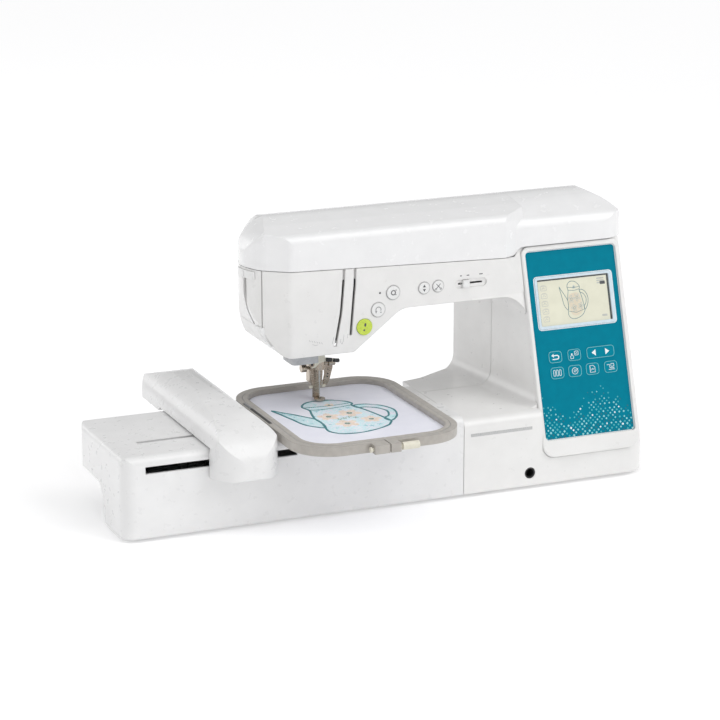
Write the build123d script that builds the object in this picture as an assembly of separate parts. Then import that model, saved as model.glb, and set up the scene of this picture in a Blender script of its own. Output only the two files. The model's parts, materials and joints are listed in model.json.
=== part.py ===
from build123d import *
import os
import math

os.makedirs("parts", exist_ok=True)

# ---------------------------------------------------------------- driving dimensions (mm)
# Working frame: X = 0 at the joint between embroidery unit and bed, Y = 0 at the common
# front face, Z = 0 at the table. Everything is moved to the bottom centre on export.
HEIGHT = 297.5            # overall height, table to lid crown
BODY_Z0 = 4.0             # underside of the housings, above the rubber feet
BED_TOP = 85.0            # sewing bed and needle plate surface
BED_RIGHT = 220.0         # right side of the tower
BED_BACK = 195.0          # back of the tower
ARM_FRONT = 50.0          # front face of arm and head
ARM_BACK = 174.0          # back face of arm and head
ARM_UNDER = 200.0         # underside of the arm
HEAD_LEFT = -213.0        # left end of head and lid
HEAD_BOTTOM = 158.5       # underside of the head
HEAD_RIGHT = -104.0       # right end of the head's flat underside
THROAT_LEFT = -50.0       # where the diagonal under the head meets the arm
TILT = 16.8               # the control panel leans back by this angle, degrees
PANEL_Y0, PANEL_Z0 = 3.0, 51.0   # a point of the panel's front plane
WALL = 2.6                # housing wall
SEAM_Y = 115.0            # front and rear covers meet here
SEAM_GAP = 0.3            # half of the joint between two covers
CORNER_R = 26.0           # upright corner in front on the right
LID_FRONT = 58.0          # front of the lid above the control panel

NEEDLE_X, NEEDLE_Y = -124.0, 97.0
NEEDLE_TIP = 97.6         # needle point at rest
NEEDLE_STROKE = 31.0
PRESSER_Y = NEEDLE_Y + 15.0
FOOT_Z = 96.4             # underside of the embroidery foot at rest
SHAFT_Y, SHAFT_Z, SHAFT_R = 113.0, 214.0, 6.0
LOW_SHAFT_Y, LOW_SHAFT_Z, LOW_SHAFT_R = 140.0, 40.0, 4.5
WHEEL_X = 223.0           # outer face of the handwheel, 3 mm proud of the side

UNIT_LEFT = -375.0        # left end of the embroidery unit
UNIT_TOP = 89.0
UNIT_BACK = 152.0
UNIT_LEG_BACK = 58.0      # back of the leg that runs in front of the free arm
BAY_LEFT = -222.0         # left end of the bay for the free arm
CAR_X0, CAR_X1 = -284.0, -212.0    # carriage arm
CAR_Y0, CAR_Y1 = -32.0, 238.0
CAR_Z0 = 90.6             # underside of the carriage over the unit
CAR_TOP = 118.0
HOOP_X0, HOOP_X1 = -197.0, -41.0   # hoop opening
HOOP_Y0, HOOP_Y1 = -62.0, 141.0
HOOP_R = 30.0             # inner corner radius
RING_IN, RING_OUT = 6.2, 13.0      # radial reach of the inner and the outer ring
HOOP_Z0, HOOP_Z1 = 90.2, 100.6
FABRIC_Z = 94.6           # underside of the hooped fabric

k = math.tan(math.radians(TILT))


def export(shape, name):
    s = Pos(*OFFSET) * shape
    sol = s.solids()
    export_step(Compound(children=list(sol)) if len(sol) > 1 else sol[0], f"parts/{name}.step")


def rbox(x0, x1, y0, y1, z0, z1):
    return Pos((x0 + x1) / 2, (y0 + y1) / 2, (z0 + z1) / 2) * Box(x1 - x0, y1 - y0, z1 - z0)


def cyl(x, y, z0, z1, r):
    return Pos(x, y, (z0 + z1) / 2) * Cylinder(r, z1 - z0)


def cylx(x0, x1, y, z, r):
    return Pos((x0 + x1) / 2, y, z) * Rot(0, 90, 0) * Cylinder(r, x1 - x0)


def cyly(y0, y1, x, z, r):
    return Pos(x, (y0 + y1) / 2, z) * Rot(90, 0, 0) * Cylinder(r, y1 - y0)


def loop(pts, radii):
    """Closed polygon with a radius at each corner, as a face in the XY plane."""
    n = len(pts)
    edges, prev_end, first = [], None, None
    for i in range(n):
        p0, p1, p2 = (Vector(*pts[j % n]) for j in (i - 1, i, i + 1))
        r = radii[i] if isinstance(radii, (list, tuple)) else radii
        a, b = (p0 - p1), (p2 - p1)
        ang = math.radians(a.get_angle(b))
        if r <= 0 or abs(ang - math.pi) < 1e-3:
            s = e = p1
            mid = None
        else:
            d = r / math.tan(ang / 2)
            d = min(d, a.length * 0.499, b.length * 0.499)
            rr = d * math.tan(ang / 2)
            s, e = p1 + a.normalized() * d, p1 + b.normalized() * d
            bis = (a.normalized() + b.normalized()).normalized()
            c = p1 + bis * (rr / math.sin(ang / 2))
            mid = c - bis * rr
        if prev_end is not None and (s - prev_end).length > 1e-6:
            edges.append(Edge.make_line(prev_end, s))
        if first is None:
            first = s
        if mid is not None:
            edges.append(Edge.make_three_point_arc(s, mid, e))
        prev_end = e
    if (first - prev_end).length > 1e-6:
        edges.append(Edge.make_line(prev_end, first))
    return Face(Wire(edges))


def along_y(pts, radii, y0, y1):
    """Front elevation (X, Z) swept from y0 to y1."""
    f = loop(pts, radii)
    return Plane(origin=(0, y1, 0), x_dir=(1, 0, 0), z_dir=(0, -1, 0)).location * extrude(f, y1 - y0, dir=(0, 0, 1))


def along_x(pts, radii, x0, x1):
    """Side elevation (Y, Z) swept from x0 to x1."""
    f = loop(pts, radii)
    return Plane(origin=(x0, 0, 0), x_dir=(0, 1, 0), z_dir=(1, 0, 0)).location * extrude(f, x1 - x0, dir=(0, 0, 1))


def along_z(pts, radii, z0, z1):
    """Plan (X, Y) swept from z0 to z1."""
    f = loop(pts, radii)
    return Pos(0, 0, z0) * extrude(f, z1 - z0, dir=(0, 0, 1))


def main_solid(shape):
    """The largest solid of a cut shape; crumbs left at the edges of a cut are dropped."""
    return sorted(shape.solids(), key=lambda q: q.volume)[-1]


def panel_y(z):
    return PANEL_Y0 + k * (z - PANEL_Z0)


def rrect(x0, x1, y0, y1, r, z0, z1):
    return along_z([(x0, y0), (x1, y0), (x1, y1), (x0, y1)], r, z0, z1)


def soften(shape, edges, r):
    """Round the given edges, with a smaller radius when the large one doesn't fit."""
    for q in (r, r * 0.7, r * 0.45, r * 0.25):
        try:
            out = shape.fillet(q, edges)
            if out.is_valid:
                return out
        except Exception:
            continue
    print("not rounded", r)
    return shape


# ---------------------------------------------------------------- housing, outer shape
def seam(x):
    """Height of the joint between housing and lid along the arm."""
    return 251.0 - 9.5 * (x + 199.0) / 287.0



head_front = along_y(
    [(HEAD_LEFT, 262), (HEAD_LEFT, 232), (-208, 206), (-197, 182), (-182, HEAD_BOTTOM), (HEAD_RIGHT, HEAD_BOTTOM),
     (THROAT_LEFT, ARM_UNDER), (110, ARM_UNDER), (110, 262)],
    [0, 60, 50, 40, 18, 6, 26, 0, 0], ARM_FRONT, ARM_BACK)
head_side = along_x(
    [(ARM_FRONT, 140), (ARM_FRONT, 270), (ARM_BACK, 270), (ARM_BACK, 140)],
    [0, 0, 0, 0], HEAD_LEFT - 5, 120)
# Seen from above the left end is round; the front corner keeps a soft crease.
LEFT_END = [(-162, ARM_BACK), (-190, 149), (-206, 119), (HEAD_LEFT, 92), (-203, 67)]
LEFT_R = [30, 50, 50, 26, 26]
head_plan = along_z([(-174, ARM_FRONT), (120, ARM_FRONT), (120, ARM_BACK)] + LEFT_END, [12, 0, 0] + LEFT_R, 130, 270)
head = head_front & head_plan

base_plan = [(0, 0), (BED_RIGHT, 0), (BED_RIGHT, BED_BACK), (76, BED_BACK), (24, 166), (0, 160)]
base = along_z(base_plan, [0, CORNER_R, 22, 30, 40, 0], BODY_Z0, BED_TOP)
base = base & along_x([(0, BODY_Z0 - 1), (0, BED_TOP), (BED_BACK, BED_TOP), (BED_BACK, BODY_Z0 - 1)],
                      [0, 9, 0, 0], 0, BED_RIGHT)
tower_side = along_x(
    [(0, BODY_Z0), (0, 45), (panel_y(250) + 2.0, 250), (ARM_BACK, 250), (BED_BACK, 196), (BED_BACK, BODY_Z0)],
    [0, 30, 0, 14, 50, 0], 30, BED_RIGHT)
tower_front = along_y(
    [(30, BODY_Z0), (BED_RIGHT - 2, BODY_Z0), (BED_RIGHT, 30), (BED_RIGHT, 262), (30, 262)],
    [0, 3, 10, 0, 0], -5, BED_BACK + 5)
tower_low = along_z([(30, 0), (BED_RIGHT, 0), (BED_RIGHT, BED_BACK), (30, BED_BACK)],
                    [0, CORNER_R, 22, 0], BODY_Z0, 38)
# The tower's front corners follow the leaning panel.
lean = Pos(0, PANEL_Y0, PANEL_Z0) * Rot(-TILT, 0, 0)
tower_top = lean * along_z([(30, 0.3), (BED_RIGHT, 0.3), (BED_RIGHT, 260), (30, 260)], [0, CORNER_R, 0, 0], -40, 240)
tower = (tower_side & tower_front) & (tower_low + (tower_top & rbox(-10, 300, -50, 400, 36, 300)))
tower &= along_z([(20, -10), (240, -10), (240, BED_BACK), (78, BED_BACK), (24, 166), (20, 166)], [0, 0, 22, 30, 20, 0], 0, 300)

# The throat: the space between bed, arm and tower, its right wall turned a little to the left at the back.
throat = Pos(0, 0, 0) * Rot(0, 0, 6.2) * along_y(
    [(-400, BED_TOP), (97, BED_TOP), (97, ARM_UNDER), (-400, ARM_UNDER)], [0, 16, 26, 0], -120, 330)
throat = throat & rbox(-60, 130, -200, 400, BED_TOP, ARM_UNDER)
base = (base & rbox(-10, 92, -50, 400, 0, 100)) + (base & tower)


def facet(inset=0.0):
    """What lies in front of the slanting facet that leads from the arm's front to the panel's left edge."""
    a, b, c = Vector(91.7, 50, 206.7), Vector(91.7, 62.3, 250), Vector(70, 50, 250)
    n = (b - a).cross(c - a).normalized()
    if n.Y > 0:
        n = -n
    return (Plane(origin=a - n * inset, z_dir=n).location * Pos(0, 0, 100) * Box(400, 400, 200)) & rbox(30, 91.8, 20, 100, 195, 270)


outer = (head + base + (tower - throat)) - facet()

# ---------------------------------------------------------------- lid
lid_arm = along_x(
    [(ARM_FRONT, 236), (ARM_FRONT, 286), (82, 293), (112, HEIGHT), (140, 293), (ARM_BACK, 274), (ARM_BACK, 236)],
    [0, 10, 60, 60, 60, 34, 0], HEAD_LEFT, 98)
lid_tower = along_x(
    [(LID_FRONT, 236), (LID_FRONT, 276), (88, 291.5), (112, HEIGHT), (140, 293), (ARM_BACK, 274), (ARM_BACK, 236)],
    [0, 14, 60, 60, 60, 34, 0], 82, BED_RIGHT + 1)
lid_front = along_y(
    [(HEAD_LEFT, 190), (HEAD_LEFT, 298), (BED_RIGHT, 298), (BED_RIGHT, 190)],
    [0, 42, 47, 0], 30, 200)
lid_plan_arm = along_z([(-174, ARM_FRONT), (98, ARM_FRONT), (98, ARM_BACK)] + LEFT_END, [12, 0, 0] + LEFT_R, 230, 310)
lid_plan_tower = along_z(
    [(82, LID_FRONT), (BED_RIGHT, LID_FRONT), (BED_RIGHT, ARM_BACK), (82, ARM_BACK)], [0, 30, 20, 0], 230, 310)
above_seam = along_y(
    [(-240, seam(-240) + SEAM_GAP), (83, seam(83) + SEAM_GAP), (91, 250 + SEAM_GAP), (240, 250 + SEAM_GAP),
     (240, 320), (-240, 320)], [0, 5, 5, 0, 0, 0], 0, 260)
below_seam = along_y(
    [(-240, seam(-240) - SEAM_GAP), (83, seam(83) - SEAM_GAP), (91, 250 - SEAM_GAP), (240, 250 - SEAM_GAP),
     (240, -10), (-240, -10)], [0, 5, 5, 0, 0, 0], -20, 260)


def shoulder(p, q, r, top, inset=0.0):
    """Everything inside the upright plane through plan points p and q, its top edge rounded with radius r."""
    u = Vector(q[0] - p[0], q[1] - p[1], 0).normalized()
    n = Vector(-u.Y, u.X, 0)
    if n.dot(Vector(0 - p[0], 112 - p[1], 0)) < 0:
        n = -n
    pl = Plane(origin=Vector(p[0], p[1], 0) + n * inset, x_dir=n, z_dir=n.cross(Vector(0, 0, 1)))
    f = loop([(0, 100), (0, top), (700, top), (700, 100)], [0, r, 0, 0])
    return pl.location * (Pos(0, 0, -700) * extrude(f, 1400, dir=(0, 0, 1)))


LID_SIDES = (((-206, 119), (-190, 149), 34), ((-190, 149), (-162, ARM_BACK), 34), ((-174, 50), (-203, 67), 15),
             ((-203, 67), (HEAD_LEFT, 92), 24))
BLEND = ((70, ARM_FRONT), (91.7, 62.3))
lid_outer = (lid_arm & lid_plan_arm) & shoulder(*BLEND, 26, 301)
lid_outer = (lid_outer + (lid_tower & lid_plan_tower)) & lid_front & above_seam
for p, q, r in LID_SIDES:
    lid_outer = lid_outer & shoulder(p, q, r, 298.0)
LEFT_IN = [(-163, ARM_BACK - WALL), (-188, 147), (-203.5, 117.5), (HEAD_LEFT + 3, 92.5), (-200.5, 69.5)]
LEFT_IN_R = [27, 47, 47, 23, 23]
lid_in_arm = along_x(
    [(ARM_FRONT + WALL, 230), (ARM_FRONT + WALL, 283), (83, 290.2), (112, HEIGHT - WALL - 0.2), (139, 290.2),
     (ARM_BACK - WALL, 272), (ARM_BACK - WALL, 230)],
    [0, 8, 60, 60, 60, 32, 0], HEAD_LEFT, 96) & shoulder(*BLEND, 23, 298, inset=WALL)
lid_in_tower = along_x(
    [(LID_FRONT + WALL, 230), (LID_FRONT + WALL, 273.5), (89, 288.6), (112, HEIGHT - WALL - 0.2), (139, 290.2),
     (ARM_BACK - WALL, 272), (ARM_BACK - WALL, 230)],
    [0, 12, 60, 60, 60, 32, 0], 88, BED_RIGHT)
lid_cavity = (lid_in_arm + lid_in_tower) & along_y(
    [(HEAD_LEFT + WALL, 190), (HEAD_LEFT + WALL, 295.2), (BED_RIGHT - WALL, 295.2), (BED_RIGHT - WALL, 190)],
    [0, 39.6, 44.6, 0], 30, 200) & along_z(
    [(-172, ARM_FRONT), (96, ARM_FRONT), (96, LID_FRONT + WALL), (BED_RIGHT - WALL, LID_FRONT + WALL),
     (BED_RIGHT - WALL, ARM_BACK - WALL), (100, ARM_BACK - WALL)] + LEFT_IN,
    [10, 0, 0, 27.4, 18, 0] + LEFT_IN_R, 220, 310)
for p, q, r in LID_SIDES:
    lid_cavity = lid_cavity & shoulder(p, q, r - 3, 295.2, inset=WALL)
lid = lid_outer - lid_cavity
HINGE_Y, HINGE_Z, HINGE_R = 177.6, 250.6, 2.6
for hx in (-120, 60):
    lid += cylx(hx - 12, hx + 12, HINGE_Y, HINGE_Z, HINGE_R)
    lid += rbox(hx - 12, hx + 12, ARM_BACK - 1.5, HINGE_Y - 1, HINGE_Z + 0.6, HINGE_Z + 2.4)

# ---------------------------------------------------------------- housing, hollow
cav_head = along_y(
    [(-209.5, 236), (-209.5, 230), (-205, 206), (-194, 183.5), (-180.5, 161.5), (-106, 161.5), (-52, 203.5), (216, 203.5), (216, 236)],
    [0, 56, 46, 36, 14, 4, 22, 0, 0], ARM_FRONT + 3, ARM_BACK - 3) & along_z(
    [(-171, ARM_FRONT + 3), (230, ARM_FRONT + 3), (230, ARM_BACK - 3)] + LEFT_IN,
    [10, 0, 0] + LEFT_IN_R, 130, 270)
cav_plan = along_z([(90, 3.6), (216.4, 3.6), (216.4, 191), (90, 191)], [0, CORNER_R - 3.6, 18, 0], 0, 260)
cav_tower = along_x(
    [(4, 9), (4, 46), (panel_y(236) + 7.5, 236), (172, 236), (190, 200), (190, 9)], [0, 28, 0, 0, 40, 0], 101, 216.4) & (
    ((lean * along_z([(90, 4.2), (216.4, 4.2), (216.4, 260), (90, 260)], [0, CORNER_R - 3.6, 0, 0], -70, 240)) & cav_plan) +
    (cav_plan & rbox(0, 300, -10, 300, 0, 40)))
cav_base = along_z([(3, 3.6), (216.4, 3.6), (216.4, 190), (80, 190), (27, 161), (3, 155)],
                   [0, CORNER_R - 3.6, 18, 26, 36, 0], 3, BED_TOP - 3.2)
cav_base &= cav_base & (rbox(0, 300, -10, 300, 0, 40) + (lean * rbox(-10, 300, 4.2, 400, -70, 200)))
tray = along_z([(-168, 55), (84, 55), (84, 168), (-162, 168), (-184, 146), (-199, 118), (-206, 93), (-196, 72)],
               [10, 4, 4, 24, 40, 40, 20, 20], 239.2, 270) + rbox(80, 190, 72, 168, 239.2, 270)
# Right of the throat the hollow stays inside the leaning, rounded corner, one wall thickness in.
cav_limit = rbox(-400, 92, -100, 400, 0, 300) + (
    ((lean * along_z([(90, 4.2), (216.4, 4.2), (216.4, 260), (90, 260)], [0, CORNER_R - 3.6, 0, 0], -70, 240)) & cav_plan) +
    (cav_plan & rbox(0, 300, -10, 300, 0, 40)))
cavity = ((((cav_head & rbox(-220, 216, 40, 180, 150, 236)) - facet(WALL)) + cav_base) & cav_limit) + cav_tower
housing = (outer & below_seam) - cavity - tray

# Openings of the housing.
housing -= rbox(-170, -108.4, 62, 150, 150, 170)                        # needle bar and foot
housing -= rbox(-121.2, -110.7, 56, 120, 230, 245)                      # take-up lever
housing -= rbox(NEEDLE_X - 7, NEEDLE_X + 7, 160, 180, 176, 224)                     # presser lever
housing -= cylx(212, 222, SHAFT_Y, SHAFT_Z, 27.6)                       # handwheel recess
housing -= cylx(205, 222, SHAFT_Y, SHAFT_Z, 9)
for (bx, bz, br) in ((-92.5, 184.3, 8.6), (-77.1, 201.2, 7.4), (-60.2, 217.9, 7.2), (-24.9, 219.2, 6.0), (-8.8, 219.7, 6.0)):
    housing -= cyly(48, 56, bx, bz, br + 0.3)
housing -= along_y([(11, 214.6), (47.5, 214.6), (47.5, 223.8), (11, 223.8)], 4.5, 48, 51.4)   # slider scoop
housing -= rbox(15, 43, 48, 56, 218.3, 220.3)
housing -= along_y([(-116.6, 262), (-116.8, 240), (-119.8, 203), (-126.6, 166.5), (-123.6, 166.5), (-116.8, 203), (-113.8, 240), (-113.6, 262)],
                   [0, 120, 120, 0, 0, 120, 120, 0], 46, 54)
housing -= along_y([(-103.9, 262), (-104.6, 232), (-109.3, 177), (-106.3, 177), (-101.6, 232), (-100.9, 262)],
                   [0, 120, 0, 0, 120, 0], 46, 54)
housing -= rbox(-216, -190, 84.2, 88.8, 190, 248.6)                     # threader lever
housing -= cyly(-1, 10, 77.4, 18.1, 6.2)                                # knee lifter
housing -= rbox(-1, 4, 19.4, 50.6, 29.4, 45.6)                          # socket for the unit's connector
housing -= rbox(-1, 4, 86, 132, 33, 80)                                # into the free arm
housing -= rbox(214, 222, 134, 166, 26, 50)                             # power inlet
housing -= rbox(214, 222, 96.6, 119.4, 27.6, 48.4)                      # power switch

def leaning(pts, radii, y0, y1):
    """Outline on the leaning panel: X across, second number up the panel, swept from y0 (front) to y1 (behind)."""
    return lean * along_y(pts, radii, y0, y1)


bezel_cut = leaning([(91.7, -19.3), (208.3, -19.3), (208.3, 206.9), (91.7, 206.9)], [14.3, 14.3, 9, 9], -30, 4.2)
housing -= bezel_cut
housing -= leaning([(91.7, 110), (240, 110), (240, 207.5), (91.7, 207.5)], 0, -30, -0.1)
housing -= cyly(92, 124, 218, 38, 1.26)                                 # rocker pivot
for hx in (-120, 60):
    top = seam(hx + 20) - 1.2
    for x0 in (hx - 20, hx + 12.4):
        housing += cylx(x0, x0 + 7.6, HINGE_Y, HINGE_Z, HINGE_R)
        housing += rbox(x0, x0 + 7.6, ARM_BACK - 1, HINGE_Y - 1.2, top - 9, top)
        housing += rbox(x0, x0 + 7.6, ARM_BACK + 0.4, HINGE_Y + 1.6, top - 9, HINGE_Z)

FACE_X = -200.0
face_box = rbox(-230, FACE_X, 0, 260, 100, 300)
front_box = rbox(FACE_X + 2 * SEAM_GAP, 260, -20, SEAM_Y - SEAM_GAP, 0, 300)
rear_box = rbox(FACE_X + 2 * SEAM_GAP, 260, SEAM_Y + SEAM_GAP, 260, 0, 300)
front_cover = main_solid(housing & front_box)
rear_cover = main_solid(housing & rear_box)
face_cover = main_solid(housing & face_box)

# ---------------------------------------------------------------- root: bottom, feet, free arm
base_plate = along_z([(3.4, 4.0), (216, 4.0), (216, 189.6), (80.2, 189.6), (27.2, 160.6), (3.4, 154.6)],
                     [0, CORNER_R - 4, 17.6, 26, 36, 0], BODY_Z0, BODY_Z0 + 2.6)
rubber_feet = [cyl(x, y, 0, BODY_Z0, 8) for x, y in ((26, 20), (184, 24), (202, 176), (60, 150))]

FREE_Y0, FREE_Y1 = 62.0, 138.0
free_arm_cover = (rrect(-216, -SEAM_GAP, FREE_Y0, FREE_Y1, 12, 28, BED_TOP) + rbox(-20, -SEAM_GAP, FREE_Y0, FREE_Y1, 28, BED_TOP))
free_arm_cover -= rbox(-213.4, 10, FREE_Y0 + 2.6, FREE_Y1 - 2.6, 30.6, BED_TOP - 2.6)
PLATE = [(-170, 65), (-62, 65), (-62, 134), (-170, 134)]
free_arm_cover -= along_z(PLATE, 5, BED_TOP - 1.6, BED_TOP + 1)
free_arm_cover -= rbox(-164, -68, 67, 130, BED_TOP - 5, BED_TOP)
free_arm_cover = main_solid(free_arm_cover)
needle_plate = along_z([(-169.7, 65.3), (-62.3, 65.3), (-62.3, 133.7), (-169.7, 133.7)], 4.7, BED_TOP - 1.6, BED_TOP)
needle_plate -= rrect(NEEDLE_X - 16, NEEDLE_X + 16, 67.5, 93.0, 4, 80, 90)
needle_plate -= rrect(NEEDLE_X - 4, NEEDLE_X + 4, NEEDLE_Y - 1.3, NEEDLE_Y + 1.3, 1.2, 80, 90)
for dx in (-8.5, 7.0):
    needle_plate -= rbox(NEEDLE_X + dx, NEEDLE_X + dx + 1.5, 102, 122, 80, 90)
for sx in (-158, -74):
    needle_plate -= cyl(sx, 100, BED_TOP - 0.7, BED_TOP + 1, 4.2)
needle_plate = main_solid(needle_plate)
bobbin_cover = rrect(NEEDLE_X - 15.7, NEEDLE_X + 15.7, 67.8, 92.7, 3.8, BED_TOP - 1.6, BED_TOP)
bobbin_cover -= rrect(NEEDLE_X - 14, NEEDLE_X + 14, 69.4, 91.0, 3, BED_TOP - 0.5, BED_TOP + 1)

HOOK_Y = NEEDLE_Y - 14.8
rotary_hook = cyl(NEEDLE_X, HOOK_Y, 63.4, 80, 13.6) - cyl(NEEDLE_X, HOOK_Y, 65.4, 81, 12.2)
rotary_hook += cyl(NEEDLE_X, HOOK_Y, 40, 64, 3.2)
rotary_hook += cyl(NEEDLE_X, HOOK_Y, 43.4, 52.6, 6.9)
bobbin = cyl(NEEDLE_X, HOOK_Y, 66.0, 67.2, 10.2) + cyl(NEEDLE_X, HOOK_Y, 76.6, 77.8, 10.2) + cyl(NEEDLE_X, HOOK_Y, 66, 77.8, 8.2)
bobbin -= cyl(NEEDLE_X, HOOK_Y, 60, 80, 3.0)

# ---------------------------------------------------------------- root: frame and drive
LOW_Y, LOW_Z = HOOK_Y + 21.0, 48.0
frame = rbox(-150, 174, 134, 150, 204, 226) + rbox(112, 150, 134, 160, 12, 226) + rbox(8, 174, 134, 150, 12, 30)
frame += rbox(-205, 60, 120, 131, 33.5, 42) + rbox(40, 60, 120, 146, 12, 42)
for x0, x1 in ((-80, -70), (162, 172)):
    frame += along_x([(103, 206), (136, 204), (136, 226), (103, 224)], [7, 0, 0, 7], x0, x1)
    frame -= cylx(x0 - 1, x1 + 1, SHAFT_Y, SHAFT_Z, SHAFT_R + 0.05)
for x0, x1 in ((-62, -52), (162, 172)):
    frame += rbox(x0, x1, LOW_Y - 10, 124 if x0 < 0 else 136, 36 if x0 < 0 else 22, 57)
    frame -= cylx(x0 - 1, x1 + 1, LOW_Y, LOW_Z, LOW_SHAFT_R + 0.05)
for z0 in (166, 192):
    frame += rbox(NEEDLE_X - 8.6, NEEDLE_X + 7.4, NEEDLE_Y - 7, 136, z0, z0 + 8)
frame += rbox(-150, NEEDLE_X + 7.4, 134, 150, 166, 226)
frame -= cyl(NEEDLE_X, NEEDLE_Y, 150, 250, 3.65)
frame -= cyl(NEEDLE_X, PRESSER_Y, 150, 250, 3.55)
frame -= rbox(NEEDLE_X - 8, NEEDLE_X + 8, 140, 152, 160, 232)
casting_frame = main_solid(frame)

upper_shaft = cylx(-100, 213, SHAFT_Y, SHAFT_Z, SHAFT_R) + cylx(-104, -96, SHAFT_Y, SHAFT_Z, 14) + cylx(195, 205, SHAFT_Y, SHAFT_Z, 14)
upper_shaft += cylx(193.5, 195.5, SHAFT_Y, SHAFT_Z, 15.6)
drive_pulley = cylx(178, 190, SHAFT_Y, SHAFT_Z, 19) - cylx(170, 199, SHAFT_Y, SHAFT_Z, SHAFT_R)
for i in range(6):
    a = math.radians(60 * i)
    drive_pulley -= cylx(170, 199, SHAFT_Y + 12.4 * math.cos(a), SHAFT_Z + 12.4 * math.sin(a), 3.4)
lower_shaft = cylx(-130, 209, LOW_Y, LOW_Z, LOW_SHAFT_R) + cylx(195, 205, LOW_Y, LOW_Z, 14) + cylx(NEEDLE_X - 7, NEEDLE_X + 7, LOW_Y, LOW_Z, 13.9)
lower_shaft += cylx(193.5, 195.5, LOW_Y, LOW_Z, 15.6)
handwheel = cylx(213, WHEEL_X, SHAFT_Y, SHAFT_Z, 26.5)
handwheel = soften(handwheel, handwheel.edges().filter_by(GeomType.CIRCLE).group_by(Axis.X)[-1], 3)
handwheel -= cylx(WHEEL_X - 2, 229, SHAFT_Y, SHAFT_Z, 17)
handwheel -= cylx(WHEEL_X - 4.5, 229, SHAFT_Y + 11, SHAFT_Z, 4)
for i in range(30):
    a = math.radians(12 * i)
    handwheel -= cylx(215.0, WHEEL_X - 2.6, SHAFT_Y + 27.4 * math.cos(a), SHAFT_Z + 27.4 * math.sin(a), 1.5)


def belt(y0, z0, r0, y1, z1, r1, x0, x1):
    """A taut belt round two pulleys, as a swept ring; radii are those of the belt's surface."""
    d = math.hypot(y1 - y0, z1 - z0)
    base_a = math.atan2(z1 - z0, y1 - y0)
    off = math.acos((r0 - r1) / d)
    p = []
    for s in (1, -1):
        a = base_a + s * off
        p.append((Vector(y0 + r0 * math.cos(a), z0 + r0 * math.sin(a)), Vector(y1 + r1 * math.cos(a), z1 + r1 * math.sin(a))))
    far1 = Vector(y1 + r1 * math.cos(base_a), z1 + r1 * math.sin(base_a))
    far0 = Vector(y0 - r0 * math.cos(base_a), z0 - r0 * math.sin(base_a))
    e = [Edge.make_line(p[0][0], p[0][1]), Edge.make_three_point_arc(p[0][1], far1, p[1][1]),
         Edge.make_line(p[1][1], p[1][0]), Edge.make_three_point_arc(p[1][0], far0, p[0][0])]
    f = Face(Wire(e))
    return Plane(origin=(x0, 0, 0), x_dir=(0, 1, 0), z_dir=(1, 0, 0)).location * extrude(f, x1 - x0, dir=(0, 0, 1))


MOTOR_Y, MOTOR_Z = 62.0, 52.0
timing_belt = belt(LOW_Y, LOW_Z, 15.6, SHAFT_Y, SHAFT_Z, 15.6, 196, 204) - belt(LOW_Y, LOW_Z, 14.08, SHAFT_Y, SHAFT_Z, 14.08, 195, 205)
drive_belt = belt(MOTOR_Y, MOTOR_Z, 9.6, SHAFT_Y, SHAFT_Z, 20.6, 180, 188) - belt(MOTOR_Y, MOTOR_Z, 8.08, SHAFT_Y, SHAFT_Z, 19.08, 179, 189)
main_motor = cylx(112, 172, MOTOR_Y, MOTOR_Z, 26) - cylx(165, 175, MOTOR_Y, MOTOR_Z, 3.05)
main_motor += rbox(116, 168, MOTOR_Y - 22, MOTOR_Y + 22, 22, 40)
main_motor -= cylx(150, 175, MOTOR_Y, MOTOR_Z, 3.05)
motor_pulley = cylx(178, 190, MOTOR_Y, MOTOR_Z, 8) + cylx(152, 191, MOTOR_Y, MOTOR_Z, 3)
circuit_board = rbox(106, 172, 84, 85.6, 92, 190) + rbox(116, 136, 76, 84, 110, 130) + rbox(146, 162, 79, 84, 150, 176)

# ---------------------------------------------------------------- root: control panel
bezel = leaning([(92, -19.0), (208, -19.0), (208, 206.6), (92, 206.6)], [14, 14, 8.7, 8.7], -2.4, 4.0)
bezel = soften(bezel, bezel.edges().group_by(Axis((0, 0, 0), (0, -math.cos(math.radians(TILT)), math.sin(math.radians(TILT)))))[-1], 1.6)
bezel -= leaning([(96.2, -0.8), (203.8, -0.8), (203.8, 201.2), (96.2, 201.2)], [3.6, 3.6, 5, 5], -6, 0.8)
DISP = [(104.4, 117.0), (196.2, 117.0), (196.2, 172.4), (104.4, 172.4)]
GLASS = [(107.2, 120.1), (192.6, 120.1), (192.6, 169.9), (107.2, 169.9)]
bezel -= leaning(DISP, 3, -6, 6)
panel_bezel = main_solid(bezel)
panel_sheet = leaning([(96.3, -0.7), (203.7, -0.7), (203.7, 201.1), (96.3, 201.1)], [3.5, 3.5, 4.9, 4.9], 0.0, 0.8)
panel_sheet -= leaning(DISP, 3, -6, 6)
display_frame = leaning(DISP, 3, -0.8, 4.0) - leaning(GLASS, 1.5, -2, 6)
display_glass = leaning(GLASS, 1.5, 0.9, 2.6)


def zl(z):
    return (z - PANEL_Z0) / math.cos(math.radians(TILT))


KEYS = [(119.0, 134.0, 15.6), (141.6, 134.0, 15.6), (173.0, 134.0, 33.0),
        (119.4, 117.6, 15.6), (140.4, 117.6, 15.6), (161.4, 117.6, 15.6), (183.4, 117.6, 15.6)]
KEY_H = 12.4
touch_keys = [leaning([(x - w / 2, zl(z) - KEY_H / 2), (x + w / 2, zl(z) - KEY_H / 2), (x + w / 2, zl(z) + KEY_H / 2),
                       (x - w / 2, zl(z) + KEY_H / 2)], 3.6, -0.45, 0) for x, z, w in KEYS]

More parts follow.
